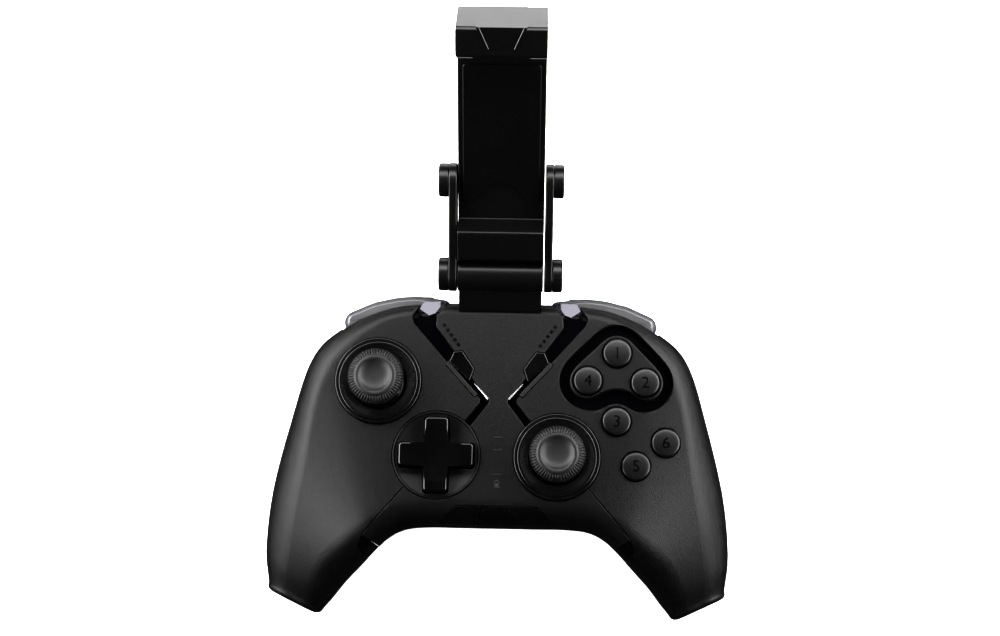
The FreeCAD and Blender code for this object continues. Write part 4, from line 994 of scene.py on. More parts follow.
@dataclass
class Layout:
    """Places on the face, the right side where both sides are alike."""

    left_stick: Point = (-39.8, 11.2)
    right_stick: Point = (19.6, -13.0)
    cross: Point = (-20.0, -13.0)
    buttons: tuple[Point, ...] = (
        (39.0, 21.7), (48.3, 12.0), (39.0, -0.9), (29.4, 12.4), (45.5, -15.5), (55.3, -7.5))
    island: tuple[int, ...] = (3, 1, 0)
    island_foot: int = 2
    channel_out: tuple[Point, ...] = (
        (26.6, 38.1), (27.1, 36.5), (29.4, 33.2), (28.5, 30.8), (17.1, 17.8), (5.5, 5.3),
        (10.9, -1.5))
    channel_in: tuple[Point, ...] = (
        (17.0, 38.0), (20.9, 33.6), (21.3, 30.1), (15.0, 21.6), (8.0, 11.6), (2.6, 5.3),
        (9.5, -3.8))
    channel_rear: float = 60.0
    channel_foot: Point = (15.0, -6.0)
    channel_round: float = 1.6
    side_seam: tuple[Point, ...] = (
        (24.0, -16.2), (31.0, -24.2), (43.8, -39.0), (42.6, -44.5), (40.6, -52.0))
    insert: tuple[Point, ...] = (
        (43.9, -39.4), (45.6, -42.6), (43.6, -46.6), (38.6, -42.6), (41.4, -41.0))
    hex_key: tuple[Point, ...] = (
        (16.5, 18.0), (15.0, 21.4), (12.3, 21.7), (8.2, 15.9), (9.6, 11.7))
    edge_trim: tuple[Point, ...] = ((17.9, 17.4), (16.9, 18.3), (6.9, 7.3), (7.9, 6.5))
    menu_keys: tuple[tuple[Point, ...], ...] = (
        ((-13.2, -29.6), (-20.4, -36.6), (-6.9, -36.6), (-4.9, -29.6)),
        ((-4.3, -29.6), (-6.3, -36.6), (6.3, -36.6), (4.3, -29.6)),
        ((4.9, -29.6), (6.9, -36.6), (20.4, -36.6), (13.2, -29.6)),
    )
    lights: tuple[float, ...] = (-6.7, -10.9, -18.9)
    light_half: Point = (1.7, 0.3)
    hull_step: float = 0.7
    hull_passes: int = 12

    def channel(self) -> list[Point]:
        """Outline of the right channel between the face panels.

        Returns:
            The closed outline with rounded corners.
        """
        out = (self.channel_out[0][0], self.channel_rear)
        back = (self.channel_in[0][0], self.channel_rear)
        route = [out, *self.channel_out, self.channel_foot, *self.channel_in[::-1], back]
        return rounded(route, self.channel_round)

    def hull(self, r: float, notch: float) -> list[Point]:
        """Outline round the three upper buttons with a notch round the lowest one.

        Args:
            r: Distance from the button centres.
            notch: Radius of the notch round the lowest button's centre.

        Returns:
            The outline, anticlockwise, with softened corners at the notch.
        """
        centres = [self.buttons[i] for i in self.island]
        ring = []
        for i, (x, y) in enumerate(centres):
            (px, py), (nx, ny) = centres[i - 1], centres[(i + 1) % 3]
            start = math.degrees(math.atan2(x - px, py - y)) + 180.0
            end = math.degrees(math.atan2(nx - x, y - ny)) + 180.0
            start, end = start % 360.0, end % 360.0
            ring += circle((x, y), r, 20, start, (end - start) % 360.0)
        ring = divided(anticlockwise(ring), self.hull_step)
        cx, cy = self.buttons[self.island_foot]
        for i, (x, y) in enumerate(ring):
            if math.hypot(x - cx, y - cy) < notch:
                ring[i] = (x, cy + math.sqrt(max(0.0, notch ** 2 - (x - cx) ** 2)))
        for _ in range(self.hull_passes):
            nexts = ring[1:] + ring[:1]
            ring = [((px + 2 * x + nx) / 4, (py + 2 * y + ny) / 4)
                    for (px, py), (x, y), (nx, ny) in zip(ring[-1:] + ring[:-1], ring, nexts)]
        return ring


PLAN = Layout()


HOLE_REACH = 8.0  # how far a cut stands over the face that it opens


def hole(name: str, outline: list[Point], low: float, top: float,
         lip: float) -> bpy.types.Object:
    """Solid that cuts an opening with rounded lips through a flat top.

    Args:
        name: Name of the object.
        outline: Closed outline of the opening.
        low: Height that the cut goes down to.
        top: Height of the flat face.
        lip: Radius of the rounding.

    Returns:
        The cutting solid.
    """
    outline = anticlockwise(outline)
    rings = [level(outline, low)]
    for turn in (0.0, 30.0, 60.0, 85.0):
        t = math.radians(turn)
        spread = grown(outline, lip * (1 - math.cos(t)))
        rings.append(level(spread, top - lip * (1 - math.sin(t))))
    return swept(name, rings + [level(grown(outline, lip), top + HOLE_REACH)])


def pillow(name: str, outline: list[Point], low: float, top: float, edge: float,
           foot: float = 0.0, steps: int = 4) -> bpy.types.Object:
    """Upright prism with a rounded top edge, and a rounded lower edge if foot is set.

    Args:
        name: Name of the object.
        outline: Closed outline.
        low: Height of the underside.
        top: Height of the top.
        edge: Radius of the top edge.
        foot: Radius of the lower edge.
        steps: Chords in each rounding.

    Returns:
        The new object.
    """
    outline = anticlockwise(outline)
    turns = [math.radians(90.0 * k / steps) for k in range(steps + 1)]
    rings = []
    for t in turns if foot else turns[:1]:
        spread = grown(outline, -foot * (1 - math.sin(t)))
        rings.append(level(spread, low + foot * (1 - math.cos(t))))
    for t in turns:
        spread = grown(outline, -edge * (1 - math.cos(t)))
        rings.append(level(spread, top - edge * (1 - math.sin(t))))
    return swept(name, rings)


def digit(name: str, text: str, centre: Point, size: float, low: float,
          high: float) -> bpy.types.Object:
    """A plain number as a closed solid.

    Args:
        name: Name of the object.
        text: The number.
        centre: Middle of the number in plan.
        size: Height of the font in millimetres.
        low: Underside of the solid.
        high: Top of the solid.

    Returns:
        The new object.
    """
    curve = bpy.data.curves.new(name, "FONT")
    curve.body = text
    curve.size = size * MM
    curve.extrude = (high - low) / 2 * MM
    curve.resolution_u = 4
    source = in_scene(name + "_text", curve)
    graph = bpy.context.evaluated_depsgraph_get()
    mesh = bpy.data.meshes.new_from_object(source.evaluated_get(graph))
    bpy.data.objects.remove(source)
    work = bmesh.new()
    work.from_mesh(mesh)
    bmesh.ops.remove_doubles(work, verts=work.verts, dist=2e-6)
    bmesh.ops.recalc_face_normals(work, faces=work.faces)
    xs, ys = [v.co.x for v in work.verts], [v.co.y for v in work.verts]
    middle = Vector(((min(xs) + max(xs)) / 2, (min(ys) + max(ys)) / 2, 0.0))
    shift = Vector((centre[0], centre[1], (low + high) / 2)) * MM - middle
    bmesh.ops.translate(work, verts=work.verts, vec=shift)
    work.to_mesh(mesh)
    work.free()
    return in_scene(name, mesh)


@dataclass
class Casing:
    """The moulded casing: face panels, tray with its battery bulge, gloss skin in the channels."""

    wall: float = WALL
    half_gap: float = 0.12
    lip: float = 0.35
    face_low: float = 30.0
    channel_low: float = 5.0
    button_low: float = 20.0
    light_low: float = 34.0
    light_lip: float = 0.1
    round_lip: float = 0.3
    small_lip: float = 0.22
    trench_lip: float = 0.5
    seam_width: float = 0.26
    seam_lip: float = 0.28
    hex_gap: float = 0.15
    trim_gap: float = 0.22
    key_gap: float = 0.2
    key_lip: float = 0.25
    key_round: float = 0.3
    disc_hole: float = 14.55
    ring_hole: float = 14.35
    trench: float = 9.7
    trench_notch: float = 6.3
    island: float = 6.2
    island_notch: float = 10.7
    island_top: float = 42.5
    island_edge: float = 0.55
    insert_gap: float = 0.15
    insert_inset: float = 0.12
    insert_edge: float = 0.22
    skin_top: float = 39.8
    trim_top: float = 42.1
    trim_edge: float = 0.15
    button_hole: float = 4.9
    bore_lip: float = 0.4
    bore_steps: int = 56
    least_faces: int = 40
    bulge: Place = (28.0, -12.0, 34.0)
    bulge_top: float = 13.0
    bulge_lip: float = 0.2
    bulge_edge: float = 2.5
    bulge_round: Point = (4.0, 2.0)
    battery_top: float = 14.0
    screws: tuple[Point, ...] = ((67.0, -22.0), (60.5, 4.0), (27.5, -29.0), (12.5, 29.0))
    well: Point = (2.7, 14.0)
    sleeve_low: float = 11.0
    sleeve_wall: float = 0.9
    sleeve_rise: float = 0.6
    pocket: tuple[Point, ...] = (
        (16.4, 30.4), (23.1, 30.4), (23.1, 33.0), (31.0, 33.4), (39.0, 31.4), (46.0, 28.0),
        (49.4, 25.0), (51.2, 25.0), (54.0, 31.2), (54.0, FAR), (16.4, FAR))
    pocket_z: Point = (27.1, 37.1)
    trigger_x: Point = (22.4, 52.1)
    trigger_y: float = 34.0
    arm_pocket: tuple[Point, ...] = (
        (22.4, 34.0), (38.0, 33.0), (46.0, 28.0), (52.1, 26.0), (52.1, FAR), (22.4, FAR))
    arm_floor: float = 12.5
    below: float = -5.0
    rear_key: Point = (41.0, -17.0)
    rear_key_half: Point = (8.5, 3.2)
    rear_key_turn: float = 122.0
    rear_key_gap: float = 0.3
    rear_key_round: float = 0.6
    rear_key_top: float = 16.0
    switch: Place = (-22.0, 5.2, 2.0)
    switch_round: float = 0.4
    switch_z: Point = (5.0, 15.0)
    port: Place = (4.8, 1.9, 22.5)
    port_round: float = 1.8
    port_y: Point = (30.0, 50.0)
    facet: tuple[Point, ...] = (
        (18.6, 38.6), (21.6, 34.4), (23.6, 33.6), (26.8, 35.8), (25.6, 38.2))
    facet_sink: float = 0.3
    facet_top: float = 41.2
    facet_from: float = 34.0
    facet_fall: float = 0.20
    bead_route: tuple[Point, ...] = ((8.0, 11.0), (3.3, 5.9))
    bead_r: float = 0.5
    bead_z: float = 41.3
    bead_steps: int = 8
    mark_z: Point = (41.9, 42.03)
    battery_bars: tuple[tuple[Point, Point], ...] = (
        ((-0.8, 0.8), (-23.3, -23.15)), ((-0.8, 0.8), (-21.15, -21.0)),
        ((-0.8, -0.65), (-23.3, -21.0)), ((0.65, 0.8), (-23.3, -21.0)),
        ((-0.3, 0.3), (-21.0, -20.75)), ((-0.45, 0.45), (-22.9, -22.0)))
    dashes: int = 5
    dash_half: float = 0.55
    dash_from: Point = (18.4, 30.2)
    dash_step: Point = (1.2, 1.6)
    dash_turn: float = 53.0

    def both(self, outline: list[Point]) -> list[list[Point]]:
        """The outline on the right side and its mirror image."""
        return [outline, mirrored(outline)]

    def rear_room(self) -> list[bpy.types.Object]:
        """Clear the rear corners for the bumpers and triggers.

        Returns:
            The cutting solids.
        """
        top = self.pocket_z[0] + 0.2
        shaft = oblong(self.trigger_x, (self.trigger_y, FAR))
        rooms = ((list(self.pocket), *self.pocket_z), (shaft, self.below, top),
                 (list(self.arm_pocket), self.arm_floor, top))
        return [prism("room", anticlockwise(side), low, high)
                for outline, low, high in rooms for side in self.both(outline)]

    def face_cuts(self) -> list[bpy.types.Object]:
        """Open the face for what stands in it.

        Returns:
            The cutting solids, with rounded lips.
        """
        cuts = [FORM.cutter("channel", side, self.channel_low, self.lip)
                for side in self.both(PLAN.channel())]
        for side in self.both(band(list(PLAN.side_seam), self.seam_width)):
            cuts.append(FORM.cutter("seam", side, 0.0, self.seam_lip))
        for centre, r in ((PLAN.cross, self.disc_hole), (PLAN.right_stick, self.ring_hole),
                          (PLAN.left_stick, self.ring_hole)):
            outline = circle(centre, r, TURN_STEPS)
            cuts.append(FORM.cutter("round", outline, self.face_low, self.round_lip))
        outline = PLAN.hull(self.trench, self.trench_notch)
        cuts.append(FORM.cutter("trench", outline, self.face_low, self.trench_lip))
        for i, centre in enumerate(PLAN.buttons):
            if i not in PLAN.island:
                outline = circle(centre, self.button_hole, self.bore_steps)
                cuts.append(FORM.cutter("button", outline, self.button_low, self.lip))
        for corners, gap, low in ((PLAN.hex_key, self.hex_gap, self.face_low),
                                  (PLAN.edge_trim, self.trim_gap, self.face_low),
                                  (PLAN.insert, 0.0, 0.0)):
            outline = rounded(grown(anticlockwise(list(corners)), gap), self.key_round, 2)
            cuts += [FORM.cutter("small", side, low, self.small_lip) for side in self.both(outline)]
        for key in PLAN.menu_keys:
            outline = rounded(grown(anticlockwise(list(key)), self.key_gap), self.key_round, 2)
            cuts.append(FORM.cutter("front", outline, self.face_low, self.key_lip))
        x, half = PLAN.light_half
        for y in PLAN.lights:
            outline = oblong((-x, x), (y - half, y + half))
            cuts.append(FORM.cutter("light", outline, self.light_low, self.light_lip))
        return cuts

    def face(self) -> None:
        """Cut the upper half into its three panels."""
        lid = FORM.half("lid", True, self.half_gap)
        core = FORM.solid("core", self.wall)
        combined(lid, [core] + self.rear_room() + self.face_cuts())
        for name, piece in self.panels(lid).items():
            placed(smoothed(piece), SHELL, "pad", "casing_matte", name)

    def panels(self, lid: bpy.types.Object) -> dict[str, bpy.types.Object]:
        """Split the cut lid into the left, centre and right panel.

        Args:
            lid: The upper half after all cuts, which is used up.

        Returns:
            The three panels by the name of the node that each stands for.
        """
        work = bmesh.new()
        work.from_mesh(lid.data)
        work.faces.ensure_lookup_table()
        seen: set[int] = set()
        sides: dict[str, set[int]] = {"left": set(), "centre": set(), "right": set()}
        for start in work.faces:
            if start.index in seen:
                continue
            seen.add(start.index)
            group, front = [start], [start]
            while front:
                face = front.pop()
                for other in [near for edge in face.edges for near in edge.link_faces]:
                    if other.index not in seen:
                        seen.add(other.index)
                        group.append(other)
                        front.append(other)
            if len(group) < self.least_faces:
                continue
            xs = [v.co.x for face in group for v in face.verts]
            across_middle = min(xs) < -MM and max(xs) > MM
            side = "centre" if across_middle else ("left" if max(xs) < 0.0 else "right")
            sides[side].update(face.index for face in group)
        out = {}
        for side, keep in sides.items():
            part = work.copy()
            part.faces.ensure_lookup_table()
            drop = [part.faces[i] for i in range(len(part.faces)) if i not in keep]
            bmesh.ops.delete(part, geom=drop, context="FACES")
            mesh = bpy.data.meshes.new("panel_" + side)
            part.to_mesh(mesh)
            part.free()
            out[side + "_face_panel"] = in_scene("panel_" + side, mesh)
        work.free()
        bpy.data.meshes.remove(lid.data)
        return out

    def rear_key_hole(self) -> list[Point]:
        """Plan outline of the opening round the right rear key.

        Returns:
            The closed outline.
        """
        half, wide = (size + self.rear_key_gap for size in self.rear_key_half)
        nose = wide * 0.6
        corners = [(-half, 0), (-half + nose, -wide), (half - nose, -wide), (half, 0),
                   (half - nose, wide), (-half + nose, wide)]
        return turned(corners, self.rear_key, self.rear_key_turn)

    def tray(self) -> None:
        """The lower half: battery bulge, screw wells and the openings of what sits in it."""
        tray = FORM.half("tray", False, self.half_gap)
        half, y0, y1 = self.bulge
        corner, inner_corner = self.bulge_round
        outline = rounded(oblong((-half, half), (y0, y1)), corner, 8)
        bulge = pillow("bulge", outline, 0.0, self.bulge_top, self.bulge_lip, self.bulge_edge, 6)
        combined(tray, [bulge], Join.ADD)
        half -= self.wall
        inside = oblong((-half, half), (y0 + self.wall, y1 - self.wall))
        outline = rounded(inside, inner_corner)
        room = prism("room", outline, self.wall, self.battery_top)
        cuts = [FORM.solid("core", self.wall), room]
        cuts += self.rear_room()
        wells = [(side * x, y) for x, y in self.screws for side in SIDES]
        r, top = self.well
        cuts += [prism("well", circle(centre, r, 40), self.below, top) for centre in wells]
        for side in self.both(rounded(self.rear_key_hole(), self.rear_key_round, 3)):
            cuts.append(prism("key", anticlockwise(side), self.below, self.rear_key_top))
        y, half, deep = self.switch
        slot = rounded(oblong((-half, half), (y - deep, y + deep)), self.switch_round)
        cuts.append(prism("slot", slot, *self.switch_z))
        half, tall, z = self.port
        mouth = rounded(oblong((-half, half), (z - tall, z + tall)), self.port_round)
        cuts.append(swept("port", [[Vector((x, y, h)) for x, h in mouth] for y in self.port_y]))
        for side in self.both(list(PLAN.insert)):
            cuts.append(prism("insert", anticlockwise(side), 0.0, OVER_FACE))
        combined(tray, cuts)
        placed(smoothed(tray), SHELL_UNDER, "pad", "casing_matte", "bottom_casing")
        outer, high = r + self.sleeve_wall, top + self.sleeve_rise
        profile = [(r, high), (r, self.sleeve_low), (outer, self.sleeve_low), (outer, high)]
        sleeves = [lathe("sleeve", profile, centre, 32) for centre in wells]
        placed(smoothed(joined("screw_wells", sleeves)), SHELL_UNDER, "pad", "casing_matte")

    def inlays(self) -> None:
        """The island of the upper buttons, and the small pieces in the seams and channels."""
        outline = PLAN.hull(self.island, self.island_notch)
        island = pillow("island", outline, self.skin_top, self.island_top, self.island_edge)
        for i in PLAN.island:
            bore = circle(PLAN.buttons[i], self.button_hole, self.bore_steps)
            cut = hole("bore", bore, self.face_low, self.island_top, self.bore_lip)
            combined(island, [cut])
        placed(smoothed(island), SHELL, "pad", "casing_matte", "button_island")
        parts = []
        for side in self.both(grown(anticlockwise(list(PLAN.insert)), -self.insert_gap)):
            part = FORM.solid("insert", self.insert_inset)
            combined(part, [prism("keep", anticlockwise(side), 0.0, OVER_FACE)], Join.KEEP)
            combined(part, [FORM.solid("core", self.wall)])
            parts.append(bevelled(part, self.insert_edge, 2, CREASE_SWEPT))
        placed(smoothed(joined("seam_inserts", parts)), LEGEND, "pad", "gloss_black",
               "grip_inserts")
        trims = [pillow("trim", side, self.skin_top, self.trim_top, self.trim_edge, steps=3)
                 for side in self.both(anticlockwise(list(PLAN.edge_trim)))]
        placed(smoothed(joined("channel_trims", trims)), TRIM, "pad", "gloss_black", "edge_trims")
        facets = []
        for side in SIDES:
            plan = [(side * x, y) for x, y in self.facet]
            high = [Vector((x, y, self.facet_top - (y - self.facet_from) * self.facet_fall))
                    for x, y in plan]
            facets.append(swept("facet", [level(plan, self.skin_top - self.facet_sink), high]))
        bright = smoothed(joined("channel_facets", facets), CREASE_FLAT)
        placed(bright, FACET, "pad", "gloss_black")
        # Painted highlights: bright metal beads at the channel elbows, growing wider towards the
        # elbow like the light on the gloss walls.
        beads = joined("channel_painted_glints", [self.bead(side) for side in SIDES])
        placed(smoothed(beads, CREASE_ROD), PAINTED_GLINT, "pad", "gloss_black")
        dressed(GLOSS, "inner_chassis")

    def bead(self, side: int) -> bpy.types.Object:
        """Thin round bead along the inner wall of one channel, at its elbow: a painted highlight,
        bright metal standing for light caught on the gloss wall.

        Args:
            side: 1 on the right, -1 on the left.

        Returns:
            The bead.
        """
        up = Vector((0, 0, 1))
        start, end = (Vector((side * x, y, self.bead_z)) for x, y in self.bead_route)
        aside = (end - start).cross(up).normalized()
        rings = []
        for k in range(self.bead_steps + 1):
            here = start.lerp(end, k / self.bead_steps)
            r = self.bead_r * (0.3 + 0.7 * k / self.bead_steps)
            rings.append([here + aside * a + up * b for a, b in circle((0.0, 0.0), r, 16)])
        return swept("bead", rings)

    def marks(self) -> None:
        """A printed battery outline under the lights, and dashes beside the six-sided keys."""
        bars = [block("bar", x, y, self.mark_z) for x, y in self.battery_bars]
        placed(joined("battery_mark", bars), PRINT, "pad", "casing_matte")
        dashes = []
        across_dash = (-self.dash_half, self.dash_half)
        for side in SIDES:
            turn = Matrix.Rotation(side * math.radians(self.dash_turn), 4, "Z")
            for k in range(self.dashes):
                x, y = (start - step * k for start, step in zip(self.dash_from, self.dash_step))
                dash = block("dash", across_dash, across_dash, self.mark_z)
                dashes.append(moved(dash, Matrix.Translation((side * x, y, 0)) @ turn))
        placed(joined("key_dashes", dashes), LEGEND, "pad", "casing_matte")

    def build(self) -> None:
        """Make every piece of the casing."""
        self.face()
        self.tray()
        self.inlays()
        self.marks()


@dataclass
class ThumbStick:
    """One thumb stick: ring round the opening, gloss dome on its post, ribbed rubber cap."""

    side: str
    centre: Point
    ring_r: float = 14.2
    ring_top: float = 43.2
    hole_r: float = 9.4
    seat_z: float = 39.3
    pivot_z: float = 32.5
    dome_r: float = 12.0
    dome_t: float = 1.0
    dome_angle: float = 66.0
    dome_steps: int = 24
    post_r: float = 1.45
    post_foot: float = 3.2
    collar_r: float = 3.8
    cap_top: float = 56.0
    cap_t: float = 6.4
    dish: float = 1.35
    ribs: int = 56
    rib_depth: float = 0.42
    rib_wave: tuple[float, ...] = (0.0, 0.75, 1.0, 1.0, 0.75, 0.0)
    slope_r: float = 8.7

    def ring(self) -> None:
        """The fixed ring with its double ridge."""
        r, top = self.ring_r, self.ring_top
        profile = [(r - 2.8, self.seat_z), (r, self.seat_z), (r, top - 0.5)]
        profile += circle((r - 0.32, top - 0.32), 0.32, 5, 0.0, 90.0)
        profile += [(r - 0.6, top - 0.06), (r - 0.85, top - 0.5), (r - 1.0, top - 0.55),
                    (r - 1.15, top - 0.35)]
        profile += circle((r - 1.5, top - 0.42), 0.36, 6, 30.0, 110.0)
        profile += [(r - 2.1, top - 0.55), (self.hole_r + 1.2, 41.75),
                    (self.hole_r + 0.25, 41.45), (self.hole_r, 41.25), (self.hole_r, 40.9)]
        ring = lathe(self.side + "_ring", profile, self.centre, 128)
        placed(smoothed(ring, CREASE_TURNED), RING, "pad", "gloss_black",
               self.side + "_stick_ring")

    def post(self) -> None:
        """The gloss dome that closes the opening, on the post that carries the cap."""
        steps = self.dome_steps
        turns = [math.radians(self.dome_angle * k / steps) for k in range(steps + 1)]
        z, r, low = self.pivot_z, self.dome_r, self.dome_r - self.dome_t
        start = math.asin((self.collar_r + 0.9) / r)
        dome = [(r * math.sin(a), z + r * math.cos(a)) for a in turns if a > start]
        under = [(low * math.sin(a), z + low * math.cos(a)) for a in turns
                 if low * math.sin(a) > self.post_r + 0.1]
        top = self.cap_top - self.dish - 1.4
        foot = z - self.post_foot
        profile = [(0.0, foot), (self.post_r, foot), (self.post_r, under[0][1])]
        profile += under + dome[::-1]
        profile += [(self.collar_r + 0.35, z + r - 0.05), (self.collar_r, z + r + 0.8),
                    (self.collar_r, top), (0.0, top)]
        post = lathe(self.side + "_dome", profile, self.centre, 112)
        placed(smoothed(post, CREASE_TURNED), GLOSS, self.side + "_stick", "gloss_black",
               self.side + "_stick_post")

    def cap_shape(self) -> list[Place]:
        """Section of the cap.

        Returns:
            Radius, height and share of the ribs' depth at each point, from the dish down.
        """
        low, top = self.cap_top - self.cap_t, self.cap_top
        bowl, neck = top - self.dish, self.collar_r + 0.05
        return [
            (0.0, bowl, 0.0), (1.6, bowl + 0.02, 0.0), (3.2, bowl + 0.16, 0.0),
            (4.3, top - 0.85, 0.0), (4.95, top - 0.45, 0.0), (5.35, top - 0.12, 0.0),
            (5.7, top, 0.0), (6.2, top - 0.02, 0.0), (6.6, top - 0.16, 0.0),
            (6.78, top - 0.42, 0.0), (6.95, top - 0.46, 0.3), (7.4, top - 0.5, 1.0),
            (7.9, top - 0.72, 1.0), (8.4, top - 1.05, 1.0), (8.8, top - 1.5, 1.0),
            (9.05, top - 2.1, 1.0), (9.1, top - 2.7, 0.8), (9.1, top - 3.2, 0.0),
            (9.0, top - 4.2, 0.0), (8.75, top - 5.0, 0.0), (8.2, low + 0.5, 0.0),
            (7.4, low, 0.0), (self.collar_r + 1.2, low - 1.6, 0.0), (neck, low - 1.6, 0.0),
            (neck, low, 0.0), (0.0, low, 0.0)]

    def cap(self) -> None:
        """The rubber cap: dish, smooth rim and a sloping band of fine ribs."""
        x, y = self.centre
        steps = self.ribs * len(self.rib_wave)
        rings = []
        for r, z, share in self.cap_shape():
            inward, down = (0.45, 1.0) if r < self.slope_r else (1.0, 0.2)
            ring = []
            for k in range(steps):
                a = 2 * math.pi * k / steps
                sink = self.rib_depth * share * (1.0 - self.rib_wave[k % len(self.rib_wave)])
                reach = max(r, 0.01) - sink * inward
                ring.append(Vector((x + reach * math.cos(a), y + reach * math.sin(a),
                                    z - sink * down)))
            rings.append(ring)
        cap = swept(self.side + "_cap", rings)
        placed(smoothed(cap, CREASE_SWEPT), CAP, self.side + "_stick", "stick_rubber",
               self.side + "_stick_cap")

    def build(self) -> None:
        """Make the stick and dress what carries it."""
        self.ring()
        self.post()
        self.cap()
        dressed(INNER, *[self.side + "_stick_" + part for part in ("module", "gimbal", "cradle")])


@dataclass
class CrossPad:
    """The cross pad in its dished disc."""

    centre: Point = PLAN.cross
    disc_r: float = 14.4
    dish: float = 1.6
    face: float = FACE_TOP
    floor: float = 39.8
    half: float = 12.25
    arm: float = 3.9
    top: float = 45.5
    base: float = 41.0
    gap: float = 0.45
    edge: float = 0.7
    rim: Point = (0.3, 0.16)
    dish_rim: Point = (1.3, 0.22)
    dish_power: float = 2.2
    dish_steps: int = 10
    hollow: float = 0.75
    hollow_r: float = 60.0
    stem_r: float = 4.0
    stem_low: float = 33.0
    stem_overlap: float = 0.2
    corners: Point = (1.3, 0.5)
    room_corners: Point = (1.1, 0.5)
    room_low: float = 30.0

    def cross_outline(self, spread: float, corner: float, inner: float) -> list[Point]:
        """Outline of the cross.

        Args:
            spread: How far the outline is grown.
            corner: Radius of the outer corners.
            inner: Radius of the inner corners.

        Returns:
            The closed outline.
        """
        x, y = self.centre
        h, a = self.half + spread, self.arm + spread
        corners = [(a, -h), (a, -a), (h, -a), (h, a), (a, a), (a, h),
                   (-a, h), (-a, a), (-h, a), (-h, -a), (-a, -a), (-a, -h)]
        out: list[Point] = []
        for i, corner_at in enumerate(corners):
            here, back = Vector(corner_at), Vector(corners[i - 1])
            on = Vector(corners[(i + 1) % len(corners)])
            r = inner if i % 3 == 1 else corner
            p, q = (back - here).normalized() * r, (on - here).normalized() * r
            for k in range(6):
                t = math.radians(90.0 * k / 5)
                point = here + p * (1 - math.sin(t)) + q * (1 - math.cos(t))
                out.append((x + point.x, y + point.y))
        return anticlockwise(out)

    def disc(self) -> None:
        """The dished disc with a raised rim."""
        r, f = self.disc_r, self.face
        (rim, lift), (inward, down) = self.rim, self.dish_rim
        profile = [(0.0, self.floor), (r, self.floor), (r, f + 0.12)]
        profile += circle((r - rim, f + lift), rim, 6, 0.0, 170.0)
        profile += [(r - 0.8, f - 0.12), (r - inward, f - down)]
        for k in range(1, self.dish_steps):
            share = 1.0 - k / self.dish_steps
            fall = (self.dish - down) * (1 - share ** self.dish_power)
            profile.append(((r - inward) * share, f - down - fall))
        profile.append((0.0, f - self.dish))
        disc = lathe("cross_disc", profile, self.centre, 128)
        opening = self.cross_outline(self.gap, *self.room_corners)
        room = prism("room", opening, self.room_low, OVER_FACE)
        combined(disc, [room])
        placed(smoothed(disc, CREASE_TURNED), SHELL, "pad", "casing_matte", "dpad_disc")

    def cross(self) -> None:
        """The cross with rounded edges and a hollow middle, on its plunger."""
        outline = self.cross_outline(0.0, *self.corners)
        cross = pillow("cross", outline, self.base, self.top, self.edge, steps=5)
        combined(cross, [self.ball(self.top + self.hollow_r - self.hollow, self.hollow_r)])
        stem = prism("stem", circle(self.centre, self.stem_r, 40), self.stem_low,
                     self.base + self.stem_overlap)
        combined(cross, [stem], Join.ADD)
        placed(smoothed(cross, CREASE_TURNED), KEY_GLOSS, "dpad", "gloss_black", "dpad_cross")

    def ball(self, z: float, r: float, steps: int = 64) -> bpy.types.Object:
        """Ball over the middle of the cross.

        Args:
            z: Height of its centre.
            r: Radius.
            steps: Chords from pole to pole.

        Returns:
            The ball.
        """
        turns = [math.pi * k / steps for k in range(steps + 1)]
        profile = [(r * math.sin(a), z - r * math.cos(a)) for a in turns]
        profile[0], profile[-1] = (0.0, profile[0][1]), (0.0, profile[-1][1])
        return lathe("ball", profile, self.centre, 72)

    def build(self) -> None:
        """Make the disc and the cross, and dress the gimbal ring."""
        self.disc()
        self.cross()
        dressed(INNER, "dpad_gimbal")


@dataclass
class RoundButtons:
    """The six round buttons with a sunken number each."""

    r: float = 4.65
    top: float = 44.0
    crown: float = 0.25
    island_rise: float = 0.5
    low: float = 36.6
    round: float = 0.7
    depth: float = 0.22
    size: float = 5.4
    cut_past: Point = (0.2, 1.0)
    inlay_drop: Point = (0.55, 0.14)

    def profile(self, low: float, crown: float) -> list[Point]:
        """Section of a button.

        Args:
            low: Height of its foot.
            crown: Height of the middle of its top.

        Returns:
            Radius and height of each point.
        """
        edge = crown - self.crown
        profile = [(0.0, low), (self.r, low), (self.r, edge - 0.75)]
        profile += circle((self.r - self.round, edge - 0.72), self.round, 6, 0.0, 78.0)
        for k in range(1, 9):
            share = 1.0 - k / 8
            profile.append(((self.r - 0.85) * share, edge + self.crown * (1.0 - share * share)))
        return profile

    def build(self) -> None:
        """Make every button and the inlay of its number."""
        for i, centre in enumerate(PLAN.buttons):
            name, text = f"button_{i + 1}", str(i + 1)
            rise = self.island_rise if i in PLAN.island else FORM.height(*centre) - FACE_TOP
            crown = self.top + rise
            bottom = crown - self.depth
            piece = lathe(name + "_cap", self.profile(self.low + rise, crown), centre)
            below, above = self.cut_past
            cut = digit("cut", text, centre, self.size, bottom - below, crown + above)
            combined(piece, [cut], exact=True)
            placed(smoothed(piece, CREASE_TURNED), BUTTON, name, "button_satin", name)
            low, high = (bottom - drop for drop in self.inlay_drop)
            inlay = digit(name + "_number", text, centre, self.size, low, high)
            placed(inlay, LEGEND, name, "gloss_black")


